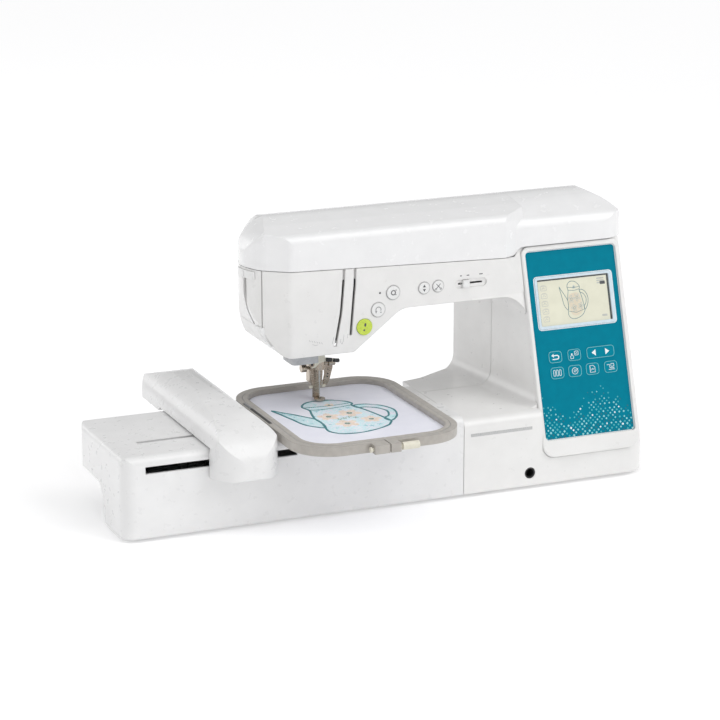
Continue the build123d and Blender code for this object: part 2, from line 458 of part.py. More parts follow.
# ---------------------------------------------------------------- root: small fittings
side_thread_cutter = along_y([(-204.0, 191), (-200.0, 182.5), (-191.0, 169.8), (-184, 169.8), (-196, 191)], [1.6, 4, 1.6, 0, 0], 64, 77) - head
side_thread_cutter = main_solid(side_thread_cutter)
side_thread_cutter -= rbox(-206, -186, 70.0, 71.3, 174, 186.5)
side_thread_cutter = main_solid(side_thread_cutter)
under_head_lamp = rrect(-166, -136, 66, 98, 5, 146, 162)
under_head_lamp -= cyl(-151, 82, 145, 148, 9)
knee_lifter_socket = cyly(0.4, 14, 77.4, 18.1, 6.0) - cyly(-1, 12, 77.4, 18.1, 4.6)
power_inlet = rbox(204, 219.6, 134.4, 165.6, 26.4, 49.6)
power_inlet -= rbox(208, 225, 137.5, 162.5, 30, 46)
power_inlet += rbox(207, 216, 144, 145.5, 36, 40) + rbox(207, 216, 154.5, 156, 36, 40)
spool_pin = rbox(118, 126, 128, 142, 239.2, 268) + cylx(52, 120, 135, 262, 3.2)
spool_cap = cylx(62, 66, 135, 262, 14) + cylx(66, 72, 135, 262, 8) - cylx(60, 74, 135, 262, 3.2)
# ---------------------------------------------------------------- needle and foot
needle_bar = cyl(NEEDLE_X, NEEDLE_Y, 141, 234, 3.6)
needle_clamp = cyl(NEEDLE_X, NEEDLE_Y, 130, 144, 6.0) - cyl(NEEDLE_X, NEEDLE_Y, 141, 150, 3.6) - cyl(NEEDLE_X, NEEDLE_Y, 120, 142, 1.05)
needle_clamp += cylx(NEEDLE_X + 5, NEEDLE_X + 11, NEEDLE_Y, 136, 1.6) + cylx(NEEDLE_X + 10, NEEDLE_X + 17, NEEDLE_Y, 136, 3.4)
needle_clamp -= cyl(NEEDLE_X, NEEDLE_Y, 120, 142, 1.05)
needle = cyl(NEEDLE_X, NEEDLE_Y, 116, 141, 1.05) + cyl(NEEDLE_X, NEEDLE_Y, NEEDLE_TIP + 3, 116, 0.55)
needle += Pos(NEEDLE_X, NEEDLE_Y, NEEDLE_TIP + 1.5) * Cone(0.12, 0.55, 3)
presser_bar = cyl(NEEDLE_X, PRESSER_Y, 116, 226, 3.5)
foot = cyl(NEEDLE_X, NEEDLE_Y, FOOT_Z, FOOT_Z + 1.6, 6.0) - cyl(NEEDLE_X, NEEDLE_Y, FOOT_Z - 1, FOOT_Z + 3, 2.6)
foot += rbox(NEEDLE_X - 2.4, NEEDLE_X + 2.4, NEEDLE_Y + 4.5, NEEDLE_Y + 11.4, FOOT_Z, FOOT_Z + 1.6)
foot += rbox(NEEDLE_X - 3.6, NEEDLE_X + 3.6, NEEDLE_Y + 9.2, NEEDLE_Y + 11.4, FOOT_Z, 120)
foot += rrect(NEEDLE_X - 7, NEEDLE_X + 7, PRESSER_Y - 6.6, PRESSER_Y + 6.6, 2, 113, 133)
foot -= cyl(NEEDLE_X, PRESSER_Y, 116, 150, 3.5)
foot -= cyl(NEEDLE_X, PRESSER_Y, 110, 150, 3.5)
foot += cyl(NEEDLE_X, PRESSER_Y, 113, 116, 3.6)
foot += cylx(NEEDLE_X - 10, NEEDLE_X - 6, PRESSER_Y, 128, 1.8) + cylx(NEEDLE_X - 15, NEEDLE_X - 9.5, PRESSER_Y, 128, 4.2)
foot -= cyl(NEEDLE_X, PRESSER_Y, 116, 150, 3.5)
embroidery_foot = main_solid(foot)
presser_lever = cylx(NEEDLE_X - 5, NEEDLE_X + 5, 158, 200, 5.6)
presser_lever += Pos(0, 158, 200) * Rot(-22.5, 0, 0) * rbox(NEEDLE_X - 4, NEEDLE_X + 4, 0, 52, -2.6, 2.6)
presser_lever += Pos(0, 158, 200) * Rot(-22.5, 0, 0) * rrect(NEEDLE_X - 5.5, NEEDLE_X + 5.5, 36, 56, 5, -3.2, 3.2)
TAKE_X0, TAKE_X1 = -117.5, -114.5
take_up_lever = cylx(TAKE_X0, TAKE_X1, 113, 222.5, 8) + Pos(0, 113, 222.5) * Rot(-18, 0, 0) * rbox(TAKE_X0, TAKE_X1, -52, 0, -3.4, 3.4)
take_up_lever += cylx(TAKE_X0, TAKE_X1, 113 - 50 * math.cos(math.radians(18)), 222.5 + 50 * math.sin(math.radians(18)), 5)
take_up_lever -= cylx(TAKE_X0 - 1, TAKE_X1 + 1, 113 - 50 * math.cos(math.radians(18)), 222.5 + 50 * math.sin(math.radians(18)), 2.2)

# ---------------------------------------------------------------- levers and buttons
LEVER_Z = 245.0
left_plan = loop([(-174, ARM_FRONT), (120, ARM_FRONT), (120, ARM_BACK)] + LEFT_END, [12, 0, 0] + LEFT_R)
band = Pos(0, 0, LEVER_Z - 4) * extrude(offset(left_plan, 2.1, kind=Kind.INTERSECTION) - offset(left_plan, 0.35, kind=Kind.INTERSECTION), 8, dir=(0, 0, 1))
threader_lever = (band & rbox(-230, -190, 72, 101, 200, 260)) + rbox(-213.2, -196, 84.8, 88.2, LEVER_Z - 3, LEVER_Z + 3)
print("threader", [round(q.volume, 1) for q in threader_lever.solids()])


def button(x, z, r, proud, dish=True):
    b = cyly(ARM_FRONT - proud, ARM_FRONT + 5.4, x, z, r) + cyly(ARM_FRONT + 3.4, ARM_FRONT + 5.4, x, z, r)
    b = soften(b, b.edges().filter_by(GeomType.CIRCLE).group_by(Axis.Y)[0], 0.6)
    return b


start_stop_button = button(-92.5, 184.3, 8.6, 1.4)
reverse_button = button(-77.1, 201.2, 7.4, 1.2)
tie_off_button = button(-60.2, 217.9, 7.2, 1.2)
needle_position_button = button(-24.9, 219.2, 6.0, 1.2)
cutter_button = button(-8.8, 219.7, 6.0, 1.2)
speed_slider = rrect(19.4, 27.4, ARM_FRONT - 2.2, ARM_FRONT + 1.1, 1.4, 215.2, 223.2) + rbox(21.5, 25.3, ARM_FRONT + 1, ARM_FRONT + 6, 218.5, 220.1)
speed_slider += rbox(18, 29, ARM_FRONT + 3.4, ARM_FRONT + 6, 216, 222.6)
power_rocker = rbox(212, 221.4, 97.4, 118.6, 28.6, 47.4)
power_rocker = soften(power_rocker, power_rocker.edges().group_by(Axis.X)[-1], 1.0)
power_rocker += cyly(93, 123, 218, 38, 1.2)
winder_spindle = cyl(168, 118, 241.6, 262, 3) + cyl(168, 118, 241.6, 244, 11)
rear_cover = main_solid(rear_cover)

# ---------------------------------------------------------------- embroidery unit
unit = along_z([(UNIT_LEFT, 0), (-SEAM_GAP * 2, 0), (-SEAM_GAP * 2, UNIT_LEG_BACK), (BAY_LEFT, UNIT_LEG_BACK), (BAY_LEFT, UNIT_BACK), (UNIT_LEFT, UNIT_BACK)],
               [14, 0, 4, 6, 10, 20], BODY_Z0, UNIT_TOP)
unit &= along_x([(0, BODY_Z0), (0, UNIT_TOP), (UNIT_BACK, UNIT_TOP), (UNIT_BACK, BODY_Z0)], [0, 8, 8, 0], UNIT_LEFT - 1, 1)
unit &= along_y([(UNIT_LEFT, 0), (UNIT_LEFT, UNIT_TOP), (1, UNIT_TOP), (1, 0)], [0, 7, 0, 0], -5, 200)
grip = along_x([(64, 0), (64, 26), (76, 44), (200, 44), (200, 0)], [0, 14, 14, 0, 0], UNIT_LEFT - 5, -326)
unit_in = along_z([(UNIT_LEFT + 2.8, 2.8), (-3.4, 2.8), (-3.4, UNIT_LEG_BACK - 2.8), (BAY_LEFT - 2.8, UNIT_LEG_BACK - 2.8), (BAY_LEFT - 2.8, UNIT_BACK - 2.8), (UNIT_LEFT + 2.8, UNIT_BACK - 2.8)],
                  [11, 0, 2, 8, 7, 17], BODY_Z0 + 2.6, UNIT_TOP - 2.8)
unit_in -= along_x([(61, 0), (61, 27), (74, 46.8), (200, 46.8), (200, 0)], [0, 14, 14, 0, 0], UNIT_LEFT - 5, -323)
unit = unit - grip - unit_in
unit -= rbox(-351, -188, -1, 4, 71.5, 79)                    # front slot
unit -= rbox(-343, -188, 48, 54, 80, 95)                     # top slot
unit -= cyl(-352, 106, 40, 50, 3.3)                          # release stem
unit += rbox(-4, 7, 20, 50, 30, 45)                          # connector tongue
unit_housing = main_solid(unit)
unit_feet = [cyl(x, y, 0, BODY_Z0, 7) for x, y in ((-352, 22), (-20, 22), (-240, 124), (-310, 124))]
x_rails = [cylx(UNIT_LEFT + 2.8, -3.4, y, 50, 4) for y in (18, 46)]
x_motor = rbox(-318, -282, 92, 128, 8, 44) + cyl(-300, 110, 44, 62, 7)
unit_release = rrect(-366, -338, 92, 120, 5, 36.5, 40.5) + cyl(-352, 106, 40, 53, 3.0) + cyl(-352, 106, 50, 53, 6)

# ---------------------------------------------------------------- carriage arm
car = along_x([(CAR_Y0, 60), (CAR_Y0, 84), (-14, 106), (30, 114), (112, CAR_TOP), (190, CAR_TOP), (CAR_Y1, 104), (CAR_Y1, 87), (UNIT_BACK + 4, 87),
               (UNIT_BACK + 2, CAR_Z0), (-1.5, CAR_Z0), (-1.5, 60)],
              [5, 20, 40, 120, 160, 80, 9, 5, 0, 0, 0, 0], CAR_X0, CAR_X1)
CAR_XM = (CAR_X0 + CAR_X1) / 2


def crown(t, top):
    """Cross-section of the carriage arm: straight flanks under a flattened arch."""
    a, zc = (CAR_X1 - CAR_X0) / 2 - t, 76.0
    arch = []
    for i in range(17):
        c, v = math.cos(math.pi * i / 16), max(0.0, math.sin(math.pi * i / 16))
        arch.append((CAR_XM + a * math.copysign(abs(c) ** 0.82, c), zc + (top - zc) * v ** 0.82))
    e = [Edge.make_spline([Vector(*p) for p in arch], tangents=[(0, 1, 0), (0, -1, 0)]),
         Edge.make_line(arch[-1], (CAR_X0 + t, 50)), Edge.make_line((CAR_X0 + t, 50), (CAR_X1 - t, 50)),
         Edge.make_line((CAR_X1 - t, 50), arch[0])]
    f = Face(Wire(e))
    return Plane(origin=(0, CAR_Y1 + 1, 0), x_dir=(1, 0, 0), z_dir=(0, -1, 0)).location * extrude(
        f, CAR_Y1 - CAR_Y0 + 2, dir=(0, 0, 1))


car &= crown(0, CAR_TOP + 0.5)
car &= along_z([(CAR_X0, CAR_Y0), (CAR_X1, CAR_Y0), (CAR_X1, CAR_Y1), (CAR_X0, CAR_Y1)], [32, 32, 35.5, 35.5], 40, 140)
car_in = along_x([(-22, CAR_Z0 + 2.4), (-14.5, 102.5), (28, 110.6), (112, CAR_TOP - 3), (189, CAR_TOP - 3), (CAR_Y1 - 3.4, 102), (CAR_Y1 - 3.4, CAR_Z0 + 2.4)],
                 [6, 30, 120, 160, 80, 7, 3], CAR_X0, CAR_X1) & crown(3.2, CAR_TOP - 2.5) & along_z(
    [(CAR_X0 + 3.2, CAR_Y0 + 3.2), (CAR_X1 - 3.2, CAR_Y0 + 3.2), (CAR_X1 - 3.2, CAR_Y1 - 3.2), (CAR_X0 + 3.2, CAR_Y1 - 3.2)], [28.8, 28.8, 32.3, 32.3], 60, 140)
car = car - car_in
car -= rbox(-224, -206, -4, 214.0, 93.4, 98.6)               # slot for the hoop holder
carriage_cover = main_solid(car)
BLOCK_X0, BLOCK_X1 = -288.0, -245.0
carriage_bracket = rbox(BLOCK_X0, BLOCK_X1, 9, 54, 42, 61) - cylx(-300, -240, 18, 50, 4.05) - cylx(-300, -240, 46, 50, 4.05)
carriage_bracket += rbox(-276, -257, 49, 53, 60, CAR_Z0) + rbox(-276, -257, -1.5, 50, 73, 77.5)
y_rail = cyly(-6, CAR_Y1 - 6.0, -243, 99.4, 3)

# ---------------------------------------------------------------- hoop
hoop_holder = rbox(-253, -231, 16, 68, 94, 104.4) - cyly(0, 90, -243, 99.4, 3.05)
hoop_holder += rbox(-232, HOOP_X0 - RING_OUT, 16, 30, 94, 98) + rbox(-232, HOOP_X0 - RING_OUT, 52, 68, 94, 98)


def ring(o, i, z0, z1):
    a = rrect(HOOP_X0 - o, HOOP_X1 + o, HOOP_Y0 - o, HOOP_Y1 + o, HOOP_R + o, z0, z1)
    b = rrect(HOOP_X0 - i, HOOP_X1 + i, HOOP_Y0 - i, HOOP_Y1 + i, HOOP_R + i, z0 - 1, z1 + 1)
    return a - b


hoop_inner_ring = ring(RING_IN, 0, FABRIC_Z + 0.5, HOOP_Z1) + ring(RING_IN, RING_IN - 2.2, HOOP_Z0 + 0.8, FABRIC_Z + 1)
hoop_inner_ring = soften(hoop_inner_ring, hoop_inner_ring.edges().group_by(Axis.Z)[-1], 1.8)
hoop_outer_ring = ring(RING_OUT, RING_IN + 0.3, HOOP_Z0, HOOP_Z1 - 0.8)
hoop_outer_ring += rbox(-138, -109.5, HOOP_Y0 - RING_OUT - 10, HOOP_Y0 - RING_OUT + 1, HOOP_Z0 + 0.4, HOOP_Z1 - 0.8)
SPLIT_X, SCREW_Y, SCREW_Z = -121.0, HOOP_Y0 - RING_OUT - 5.4, 94.6
hoop_outer_ring -= rbox(SPLIT_X - 0.6, SPLIT_X + 0.6, HOOP_Y0 - RING_OUT - 12, HOOP_Y0 - RING_IN, HOOP_Z0 - 1, HOOP_Z1 + 1)
hoop_outer_ring -= cylx(-140, -100, SCREW_Y, SCREW_Z, 1.9)
hoop_screw = cylx(-141, -105, SCREW_Y, SCREW_Z, 1.8) + cylx(-106.5, -88.5, SCREW_Y, SCREW_Z, 4.0)
for i in range(18):
    a = math.radians(20 * i)
    hoop_screw -= cylx(-104.5, -90.5, SCREW_Y + 4.15 * math.cos(a), SCREW_Z + 4.15 * math.sin(a), 0.4)
hoop_screw += cylx(-141.4, -140, SCREW_Y, SCREW_Z, 2.8)
hooped_fabric = rrect(HOOP_X0 - RING_IN + 2.4, HOOP_X1 + RING_IN - 2.4, HOOP_Y0 - RING_IN + 2.4, HOOP_Y1 + RING_IN - 2.4,
                      HOOP_R + RING_IN - 2.4, FABRIC_Z, FABRIC_Z + 0.4)

# ---------------------------------------------------------------- export
OFFSET = (76.0, -76.5, 0.0)
NODES = {
    "base_plate": base_plate, "rubber_feet": rubber_feet, "front_cover": front_cover, "rear_cover": rear_cover,
    "face_cover": face_cover, "free_arm_cover": free_arm_cover, "casting_frame": casting_frame,
    "panel_bezel": panel_bezel, "panel_sheet": panel_sheet, "display_frame": display_frame,
    "display_glass": display_glass, "touch_keys": touch_keys, "needle_plate": needle_plate,
    "bobbin_cover": bobbin_cover, "timing_belt": timing_belt, "drive_belt": drive_belt, "main_motor": main_motor,
    "circuit_board": circuit_board, "side_thread_cutter": side_thread_cutter, "under_head_lamp": under_head_lamp,
    "knee_lifter_socket": knee_lifter_socket, "power_inlet": power_inlet,
    "spool_pin": spool_pin, 
    "top_lid": lid, "handwheel": handwheel, "upper_shaft": upper_shaft, "drive_pulley": drive_pulley,
    "lower_shaft": lower_shaft, "rotary_hook": rotary_hook,  "bobbin": bobbin,
    "motor_pulley": motor_pulley,
    "needle_bar": needle_bar, "needle_clamp": needle_clamp, "needle": needle, "presser_bar": presser_bar,
    "embroidery_foot": embroidery_foot, "presser_lever": presser_lever, "take_up_lever": take_up_lever,
    "threader_lever": threader_lever, "start_stop_button": start_stop_button, "reverse_button": reverse_button,
    "tie_off_button": tie_off_button, "needle_position_button": needle_position_button,
    "cutter_button": cutter_button, "speed_slider": speed_slider, "power_rocker": power_rocker,
    "winder_spindle": winder_spindle,
    "unit_housing": unit_housing, "unit_feet": unit_feet, "x_rails": x_rails, "x_motor": x_motor,
    "unit_release": unit_release, "carriage_cover": carriage_cover, "carriage_bracket": carriage_bracket,
    "y_rail": y_rail,  "hoop_holder": hoop_holder, "hoop_outer_ring": hoop_outer_ring,
    "hoop_inner_ring": hoop_inner_ring, "hooped_fabric": hooped_fabric, "hoop_screw": hoop_screw,
}
for name, shape in NODES.items():
    solids = [q for part in shape for q in part.solids()] if isinstance(shape, list) else list(shape.solids())
    moved = [Pos(*OFFSET) * q for q in solids]
    export_step(Compound(children=moved) if len(moved) > 1 else moved[0], f"parts/{name}.step")
    if len(moved) > 1 and not isinstance(shape, list):
        print("more than one solid in", name, [round(q.volume, 1) for q in solids])
    for q in moved:
        if not q.is_valid:
            print("not valid:", name)
print(len(NODES), "nodes")
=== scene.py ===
import bpy, bmesh, json, math, random
from mathutils import Vector, Matrix


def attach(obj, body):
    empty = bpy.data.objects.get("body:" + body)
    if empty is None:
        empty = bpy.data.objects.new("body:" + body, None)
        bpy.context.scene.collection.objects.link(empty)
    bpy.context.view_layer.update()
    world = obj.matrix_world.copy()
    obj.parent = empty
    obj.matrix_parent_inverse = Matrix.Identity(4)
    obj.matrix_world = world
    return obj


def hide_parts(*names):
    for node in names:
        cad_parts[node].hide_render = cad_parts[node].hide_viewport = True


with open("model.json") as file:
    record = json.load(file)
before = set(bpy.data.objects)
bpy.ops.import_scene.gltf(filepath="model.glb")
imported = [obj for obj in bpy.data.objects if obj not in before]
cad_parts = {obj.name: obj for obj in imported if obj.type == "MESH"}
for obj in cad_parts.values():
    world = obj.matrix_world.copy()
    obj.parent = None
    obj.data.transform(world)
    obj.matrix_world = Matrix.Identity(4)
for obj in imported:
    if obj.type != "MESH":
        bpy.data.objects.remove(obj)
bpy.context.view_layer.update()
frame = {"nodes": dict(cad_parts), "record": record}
scene = bpy.context.scene
NODES = frame["nodes"]
R = random.Random(7)

# Working frame in millimetres: X = 0 at the unit joint, Y = 0 at the front face, Z = 0 at the table.
OX, OY = 76.0, -76.5
PY0, PZ0 = 3.0, 51.0
CT, ST = math.cos(math.radians(16.8)), math.sin(math.radians(16.8))


def P(x, y, z):
    return Vector(((x + OX) / 1000.0, (y + OY) / 1000.0, z / 1000.0))


def on_front(y0):
    """Decal frame on an upright plane facing the front: u = X, v = Z, d = outwards."""
    return lambda u, v, d: P(u, y0 - d, v)


def on_panel(u, v, d, base=0.0):
    """Decal frame on the leaning panel: u = X, v = up the panel, d = outwards."""
    yl = base - d
    return P(u, PY0 + yl * CT + v * ST, PZ0 - yl * ST + v * CT)


def on_flat(z0):
    return lambda u, v, d: P(u, v, z0 + d)


# ------------------------------------------------------------------ materials
def shader(name):
    m = bpy.data.materials.new(name)
    m.use_nodes = True
    nt = m.node_tree
    return m, nt, nt.nodes["Principled BSDF"]


def add(nt, kind, **props):
    n = nt.nodes.new(kind)
    for k, v in props.items():
        setattr(n, k, v)
    return n


def noise(nt, coord, scale, detail=3.0, rough=0.5, stretch=None):
    n = add(nt, "ShaderNodeTexNoise")
    n.inputs["Scale"].default_value = scale
    n.inputs["Detail"].default_value = detail
    n.inputs["Roughness"].default_value = rough
    if stretch:
        mp = add(nt, "ShaderNodeMapping")
        mp.inputs["Scale"].default_value = stretch
        nt.links.new(coord, mp.inputs["Vector"])
        nt.links.new(mp.outputs["Vector"], n.inputs["Vector"])
    else:
        nt.links.new(coord, n.inputs["Vector"])
    return n


def finish_mat(name, dark, light, rough=(0.3, 0.4), scale=60.0, fine=1800.0, bump=0.05, bump_dist=0.00006,
               metallic=0.0, coat=0.0, coat_rough=0.1, stretch=None, spec=0.5, sheen=0.0, sss=0.0, contrast=(0.35, 0.65),
               transmission=0.0, ior=1.5, soft=0.0):
    """Two close tones mixed by soft noise, varied roughness and a fine surface grain."""
    m, nt, b = shader(name)
    tc = add(nt, "ShaderNodeTexCoord")
    co = tc.outputs["Object"]
    n1 = noise(nt, co, scale, 4.0, 0.55, stretch)
    ramp = add(nt, "ShaderNodeValToRGB")
    ramp.color_ramp.elements[0].position, ramp.color_ramp.elements[1].position = contrast
    ramp.color_ramp.elements[0].color = (*dark, 1)
    ramp.color_ramp.elements[1].color = (*light, 1)
    nt.links.new(n1.outputs["Fac"], ramp.inputs["Fac"])
    nt.links.new(ramp.outputs["Color"], b.inputs["Base Color"])
    n2 = noise(nt, co, scale * 2.3, 3.0, 0.6, stretch)
    mr = add(nt, "ShaderNodeMapRange")
    mr.inputs["From Min"].default_value, mr.inputs["From Max"].default_value = 0.3, 0.7
    mr.inputs["To Min"].default_value, mr.inputs["To Max"].default_value = rough
    nt.links.new(n2.outputs["Fac"], mr.inputs["Value"])
    nt.links.new(mr.outputs["Result"], b.inputs["Roughness"])
    if bump > 0:
        n3 = noise(nt, co, fine, 2.0, 0.5, stretch)
        bp = add(nt, "ShaderNodeBump")
        bp.inputs["Strength"].default_value = bump
        bp.inputs["Distance"].default_value = bump_dist
        nt.links.new(n3.outputs["Fac"], bp.inputs["Height"])
        nt.links.new(bp.outputs["Normal"], b.inputs["Normal"])
    if soft > 0:
        bv = add(nt, "ShaderNodeBevel")
        bv.samples = 4
        bv.inputs["Radius"].default_value = soft
        nt.links.new(bv.outputs["Normal"], bp.inputs["Normal"] if bump > 0 else b.inputs["Normal"])
    b.inputs["Metallic"].default_value = metallic
    b.inputs["Coat Weight"].default_value = coat
    b.inputs["Coat Roughness"].default_value = coat_rough
    b.inputs["Specular IOR Level"].default_value = spec
    b.inputs["IOR"].default_value = ior
    if sheen:
        b.inputs["Sheen Weight"].default_value = sheen
    if sss:
        b.inputs["Subsurface Weight"].default_value = sss
        b.inputs["Subsurface Radius"].default_value = (1.0, 0.9, 0.8)
        b.inputs["Subsurface Scale"].default_value = 0.002
    if transmission:
        b.inputs["Transmission Weight"].default_value = transmission
    return m


M = {}
M["body_white"] = finish_mat("body_white", (0.80, 0.795, 0.785), (0.83, 0.825, 0.815), (0.27, 0.34), 45, 900, 0.0, coat=0.25, coat_rough=0.12, soft=0.0009)
M["lid_white"] = finish_mat("lid_white", (0.84, 0.84, 0.845), (0.865, 0.865, 0.87), (0.22, 0.28), 45, 900, 0.0, coat=0.35, coat_rough=0.08, soft=0.0009)
M["unit_white"] = finish_mat("unit_white", (0.79, 0.79, 0.79), (0.82, 0.82, 0.82), (0.26, 0.33), 45, 900, 0.0, coat=0.25, coat_rough=0.12, soft=0.0009)
M["button_white"] = finish_mat("button_white", (0.80, 0.80, 0.795), (0.84, 0.84, 0.835), (0.3, 0.38), 120, 900, 0.0, coat=0.2, soft=0.0005)
M["teal_sheet"] = finish_mat("teal_sheet", (0.0, 0.194, 0.285), (0.0, 0.212, 0.308), (0.34, 0.42), 120, 3000, 0.05, spec=0.05)
M["keys"] = finish_mat("keys", (0.0, 0.215, 0.31), (0.0, 0.232, 0.332), (0.32, 0.40), 200, 3000, 0.05, spec=0.05)
M["display_trim"] = finish_mat("display_trim", (0.58, 0.69, 0.77), (0.64, 0.75, 0.83), (0.28, 0.34), 200, 3000, 0.06, coat=0.2)
M["display"] = finish_mat("display", (0.70, 0.69, 0.55), (0.74, 0.73, 0.585), (0.12, 0.18), 80, 1800, 0.03, coat=0.4, coat_rough=0.04)
M["steel"] = finish_mat("steel", (0.50, 0.49, 0.47), (0.62, 0.61, 0.59), (0.22, 0.34), 220, 2200, 0.15, metallic=1.0, stretch=(1, 1, 14))
M["steel_bed"] = finish_mat("steel_bed", (0.52, 0.52, 0.51), (0.60, 0.60, 0.59), (0.28, 0.38), 260, 1600, 0.2, metallic=1.0, stretch=(1, 16, 1))
M["cast"] = finish_mat("cast", (0.36, 0.37, 0.38), (0.44, 0.45, 0.46), (0.5, 0.62), 160, 900, 0.45, bump_dist=0.0002, metallic=0.85)
M["warm_steel"] = finish_mat("warm_steel", (0.42, 0.36, 0.30), (0.60, 0.53, 0.45), (0.16, 0.28), 260, 1800, 0.16, metallic=1.0, stretch=(1, 1, 8))
M["black"] = finish_mat("black", (0.018, 0.018, 0.019), (0.03, 0.03, 0.031), (0.35, 0.5), 200, 1800, 0.3)
M["rubber"] = finish_mat("rubber", (0.02, 0.02, 0.02), (0.045, 0.045, 0.045), (0.7, 0.85), 260, 1500, 0.5, bump_dist=0.0001)
M["grey"] = finish_mat("grey", (0.40, 0.41, 0.42), (0.46, 0.47, 0.48), (0.35, 0.45), 200, 2000, 0.2)
M["lamp"] = finish_mat("lamp", (0.46, 0.47, 0.49), (0.56, 0.57, 0.59), (0.2, 0.3), 120, 1500, 0.1, coat=0.4)
M["hoop"] = finish_mat("hoop", (0.40, 0.375, 0.345), (0.455, 0.43, 0.395), (0.33, 0.42), 140, 1900, 0.16, coat=0.12, coat_rough=0.2, soft=0.0006)
M["lime"] = finish_mat("lime", (0.52, 0.66, 0.05), (0.60, 0.74, 0.08), (0.22, 0.3), 300, 2600, 0.05, coat=0.4, coat_rough=0.06)
M["board"] = finish_mat("board", (0.01, 0.11, 0.04), (0.02, 0.17, 0.06), (0.3, 0.45), 500, 1500, 0.2, coat=0.3)
M["clear"] = finish_mat("clear", (0.72, 0.76, 0.79), (0.78, 0.82, 0.85), (0.08, 0.14), 120, 1500, 0.03, coat=0.3, transmission=0.75)
M["belt"] = finish_mat("belt", (0.012, 0.012, 0.012), (0.03, 0.03, 0.03), (0.6, 0.75), 300, 1300, 0.4, bump_dist=0.0001)
M["fabric"] = finish_mat("fabric", (0.80, 0.80, 0.86), (0.85, 0.85, 0.90), (0.75, 0.85), 300, 2600, 0.3, sheen=0.2)
M["ink"] = finish_mat("ink", (0.075, 0.078, 0.085), (0.11, 0.112, 0.12), (0.45, 0.55), 500, 2500, 0.1)
M["ink_grey"] = finish_mat("ink_grey", (0.30, 0.305, 0.31), (0.36, 0.365, 0.37), (0.45, 0.55), 500, 2500, 0.1)
M["ink_pale"] = finish_mat("ink_pale", (0.50, 0.50, 0.50), (0.55, 0.55, 0.55), (0.4, 0.5), 500, 2500, 0.1)
M["icon_white"] = finish_mat("icon_white", (0.78, 0.86, 0.87), (0.88, 0.93, 0.93), (0.3, 0.4), 500, 2500, 0.05)
M["icon_teal"] = finish_mat("icon_teal", (0.16, 0.52, 0.56), (0.20, 0.58, 0.62), (0.3, 0.4), 500, 2500, 0.05)
M["dot_mid"] = finish_mat("dot_mid", (0.05, 0.40, 0.44), (0.08, 0.47, 0.50), (0.25, 0.35), 500, 2500, 0.05)
M["dot_light"] = finish_mat("dot_light", (0.22, 0.60, 0.62), (0.32, 0.68, 0.70), (0.25, 0.35), 500, 2500, 0.05)
M["dot_dark"] = finish_mat("dot_dark", (0.0, 0.12, 0.17), (0.0, 0.15, 0.20), (0.25, 0.35), 500, 2500, 0.05)
M["rim"] = finish_mat("rim", (0.80, 0.86, 0.88), (0.86, 0.91, 0.93), (0.2, 0.28), 200, 2500, 0.05, coat=0.3)
M["lcd_dark"] = finish_mat("lcd_dark", (0.05, 0.055, 0.06), (0.09, 0.095, 0.10), (0.3, 0.4), 300, 2500, 0.05)
M["lcd_line"] = finish_mat("lcd_line", (0.13, 0.22, 0.23), (0.18, 0.28, 0.29), (0.2, 0.3), 300, 2500, 0.04)
M["lcd_grey"] = finish_mat("lcd_grey", (0.46, 0.47, 0.44), (0.52, 0.53, 0.49), (0.2, 0.3), 300, 2500, 0.04)
M["lcd_peach"] = finish_mat("lcd_peach", (0.68, 0.61, 0.47), (0.71, 0.64, 0.50), (0.2, 0.3), 300, 2500, 0.04)
M["lcd_blue"] = finish_mat("lcd_blue", (0.36, 0.46, 0.48), (0.40, 0.50, 0.52), (0.2, 0.3), 300, 2500, 0.04)
M["cream"] = finish_mat("cream", (0.72, 0.69, 0.58), (0.80, 0.77, 0.66), (0.3, 0.4), 200, 1800, 0.1, coat=0.2)

record_slot = {s["node"]: s["material_slot"] for s in frame["record"]["subparts"]}
SPECIAL = {"needle_plate": "steel_bed", "under_head_lamp": "lamp", "hoop_screw": "cream"}
for n, o in NODES.items():
    mat = M[SPECIAL.get(n, record_slot[n])]
    o.data.materials.clear()
    o.data.materials.append(mat)


# ------------------------------------------------------------------ mesh tools
def mesh_obj(name, verts, faces, mat, body, smooth=False, angle=None):
    me = bpy.data.meshes.new(name)
    me.from_pydata([tuple(v) for v in verts], [], faces)
    bm = bmesh.new()
    bm.from_mesh(me)
    bmesh.ops.recalc_face_normals(bm, faces=bm.faces)
    bm.to_mesh(me)
    bm.free()
    me.update()
    for m in (mat if isinstance(mat, (list, tuple)) else [mat]):
        me.materials.append(m)
    o = bpy.data.objects.new(name, me)
    scene.collection.objects.link(o)
    if smooth:
        for p in me.polygons:
            p.use_smooth = True
        if angle:
            me.set_sharp_from_angle(angle=math.radians(angle))
    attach(o, body)
    return o


def circle(cx, cy, r, n=28, a0=0.0, a1=360.0):
    full = abs(a1 - a0) >= 359.9
    k = n if full else n + 1
    return [(cx + r * math.cos(math.radians(a0 + (a1 - a0) * i / n)), cy + r * math.sin(math.radians(a0 + (a1 - a0) * i / n)))
            for i in range(k)]


def rrect2(x0, y0, x1, y1, r, n=6):
    out = []
    for cx, cy, a in ((x1 - r, y1 - r, 0), (x0 + r, y1 - r, 90), (x0 + r, y0 + r, 180), (x1 - r, y0 + r, 270)):
        out += circle(cx, cy, r, n, a, a + 90)
    return out


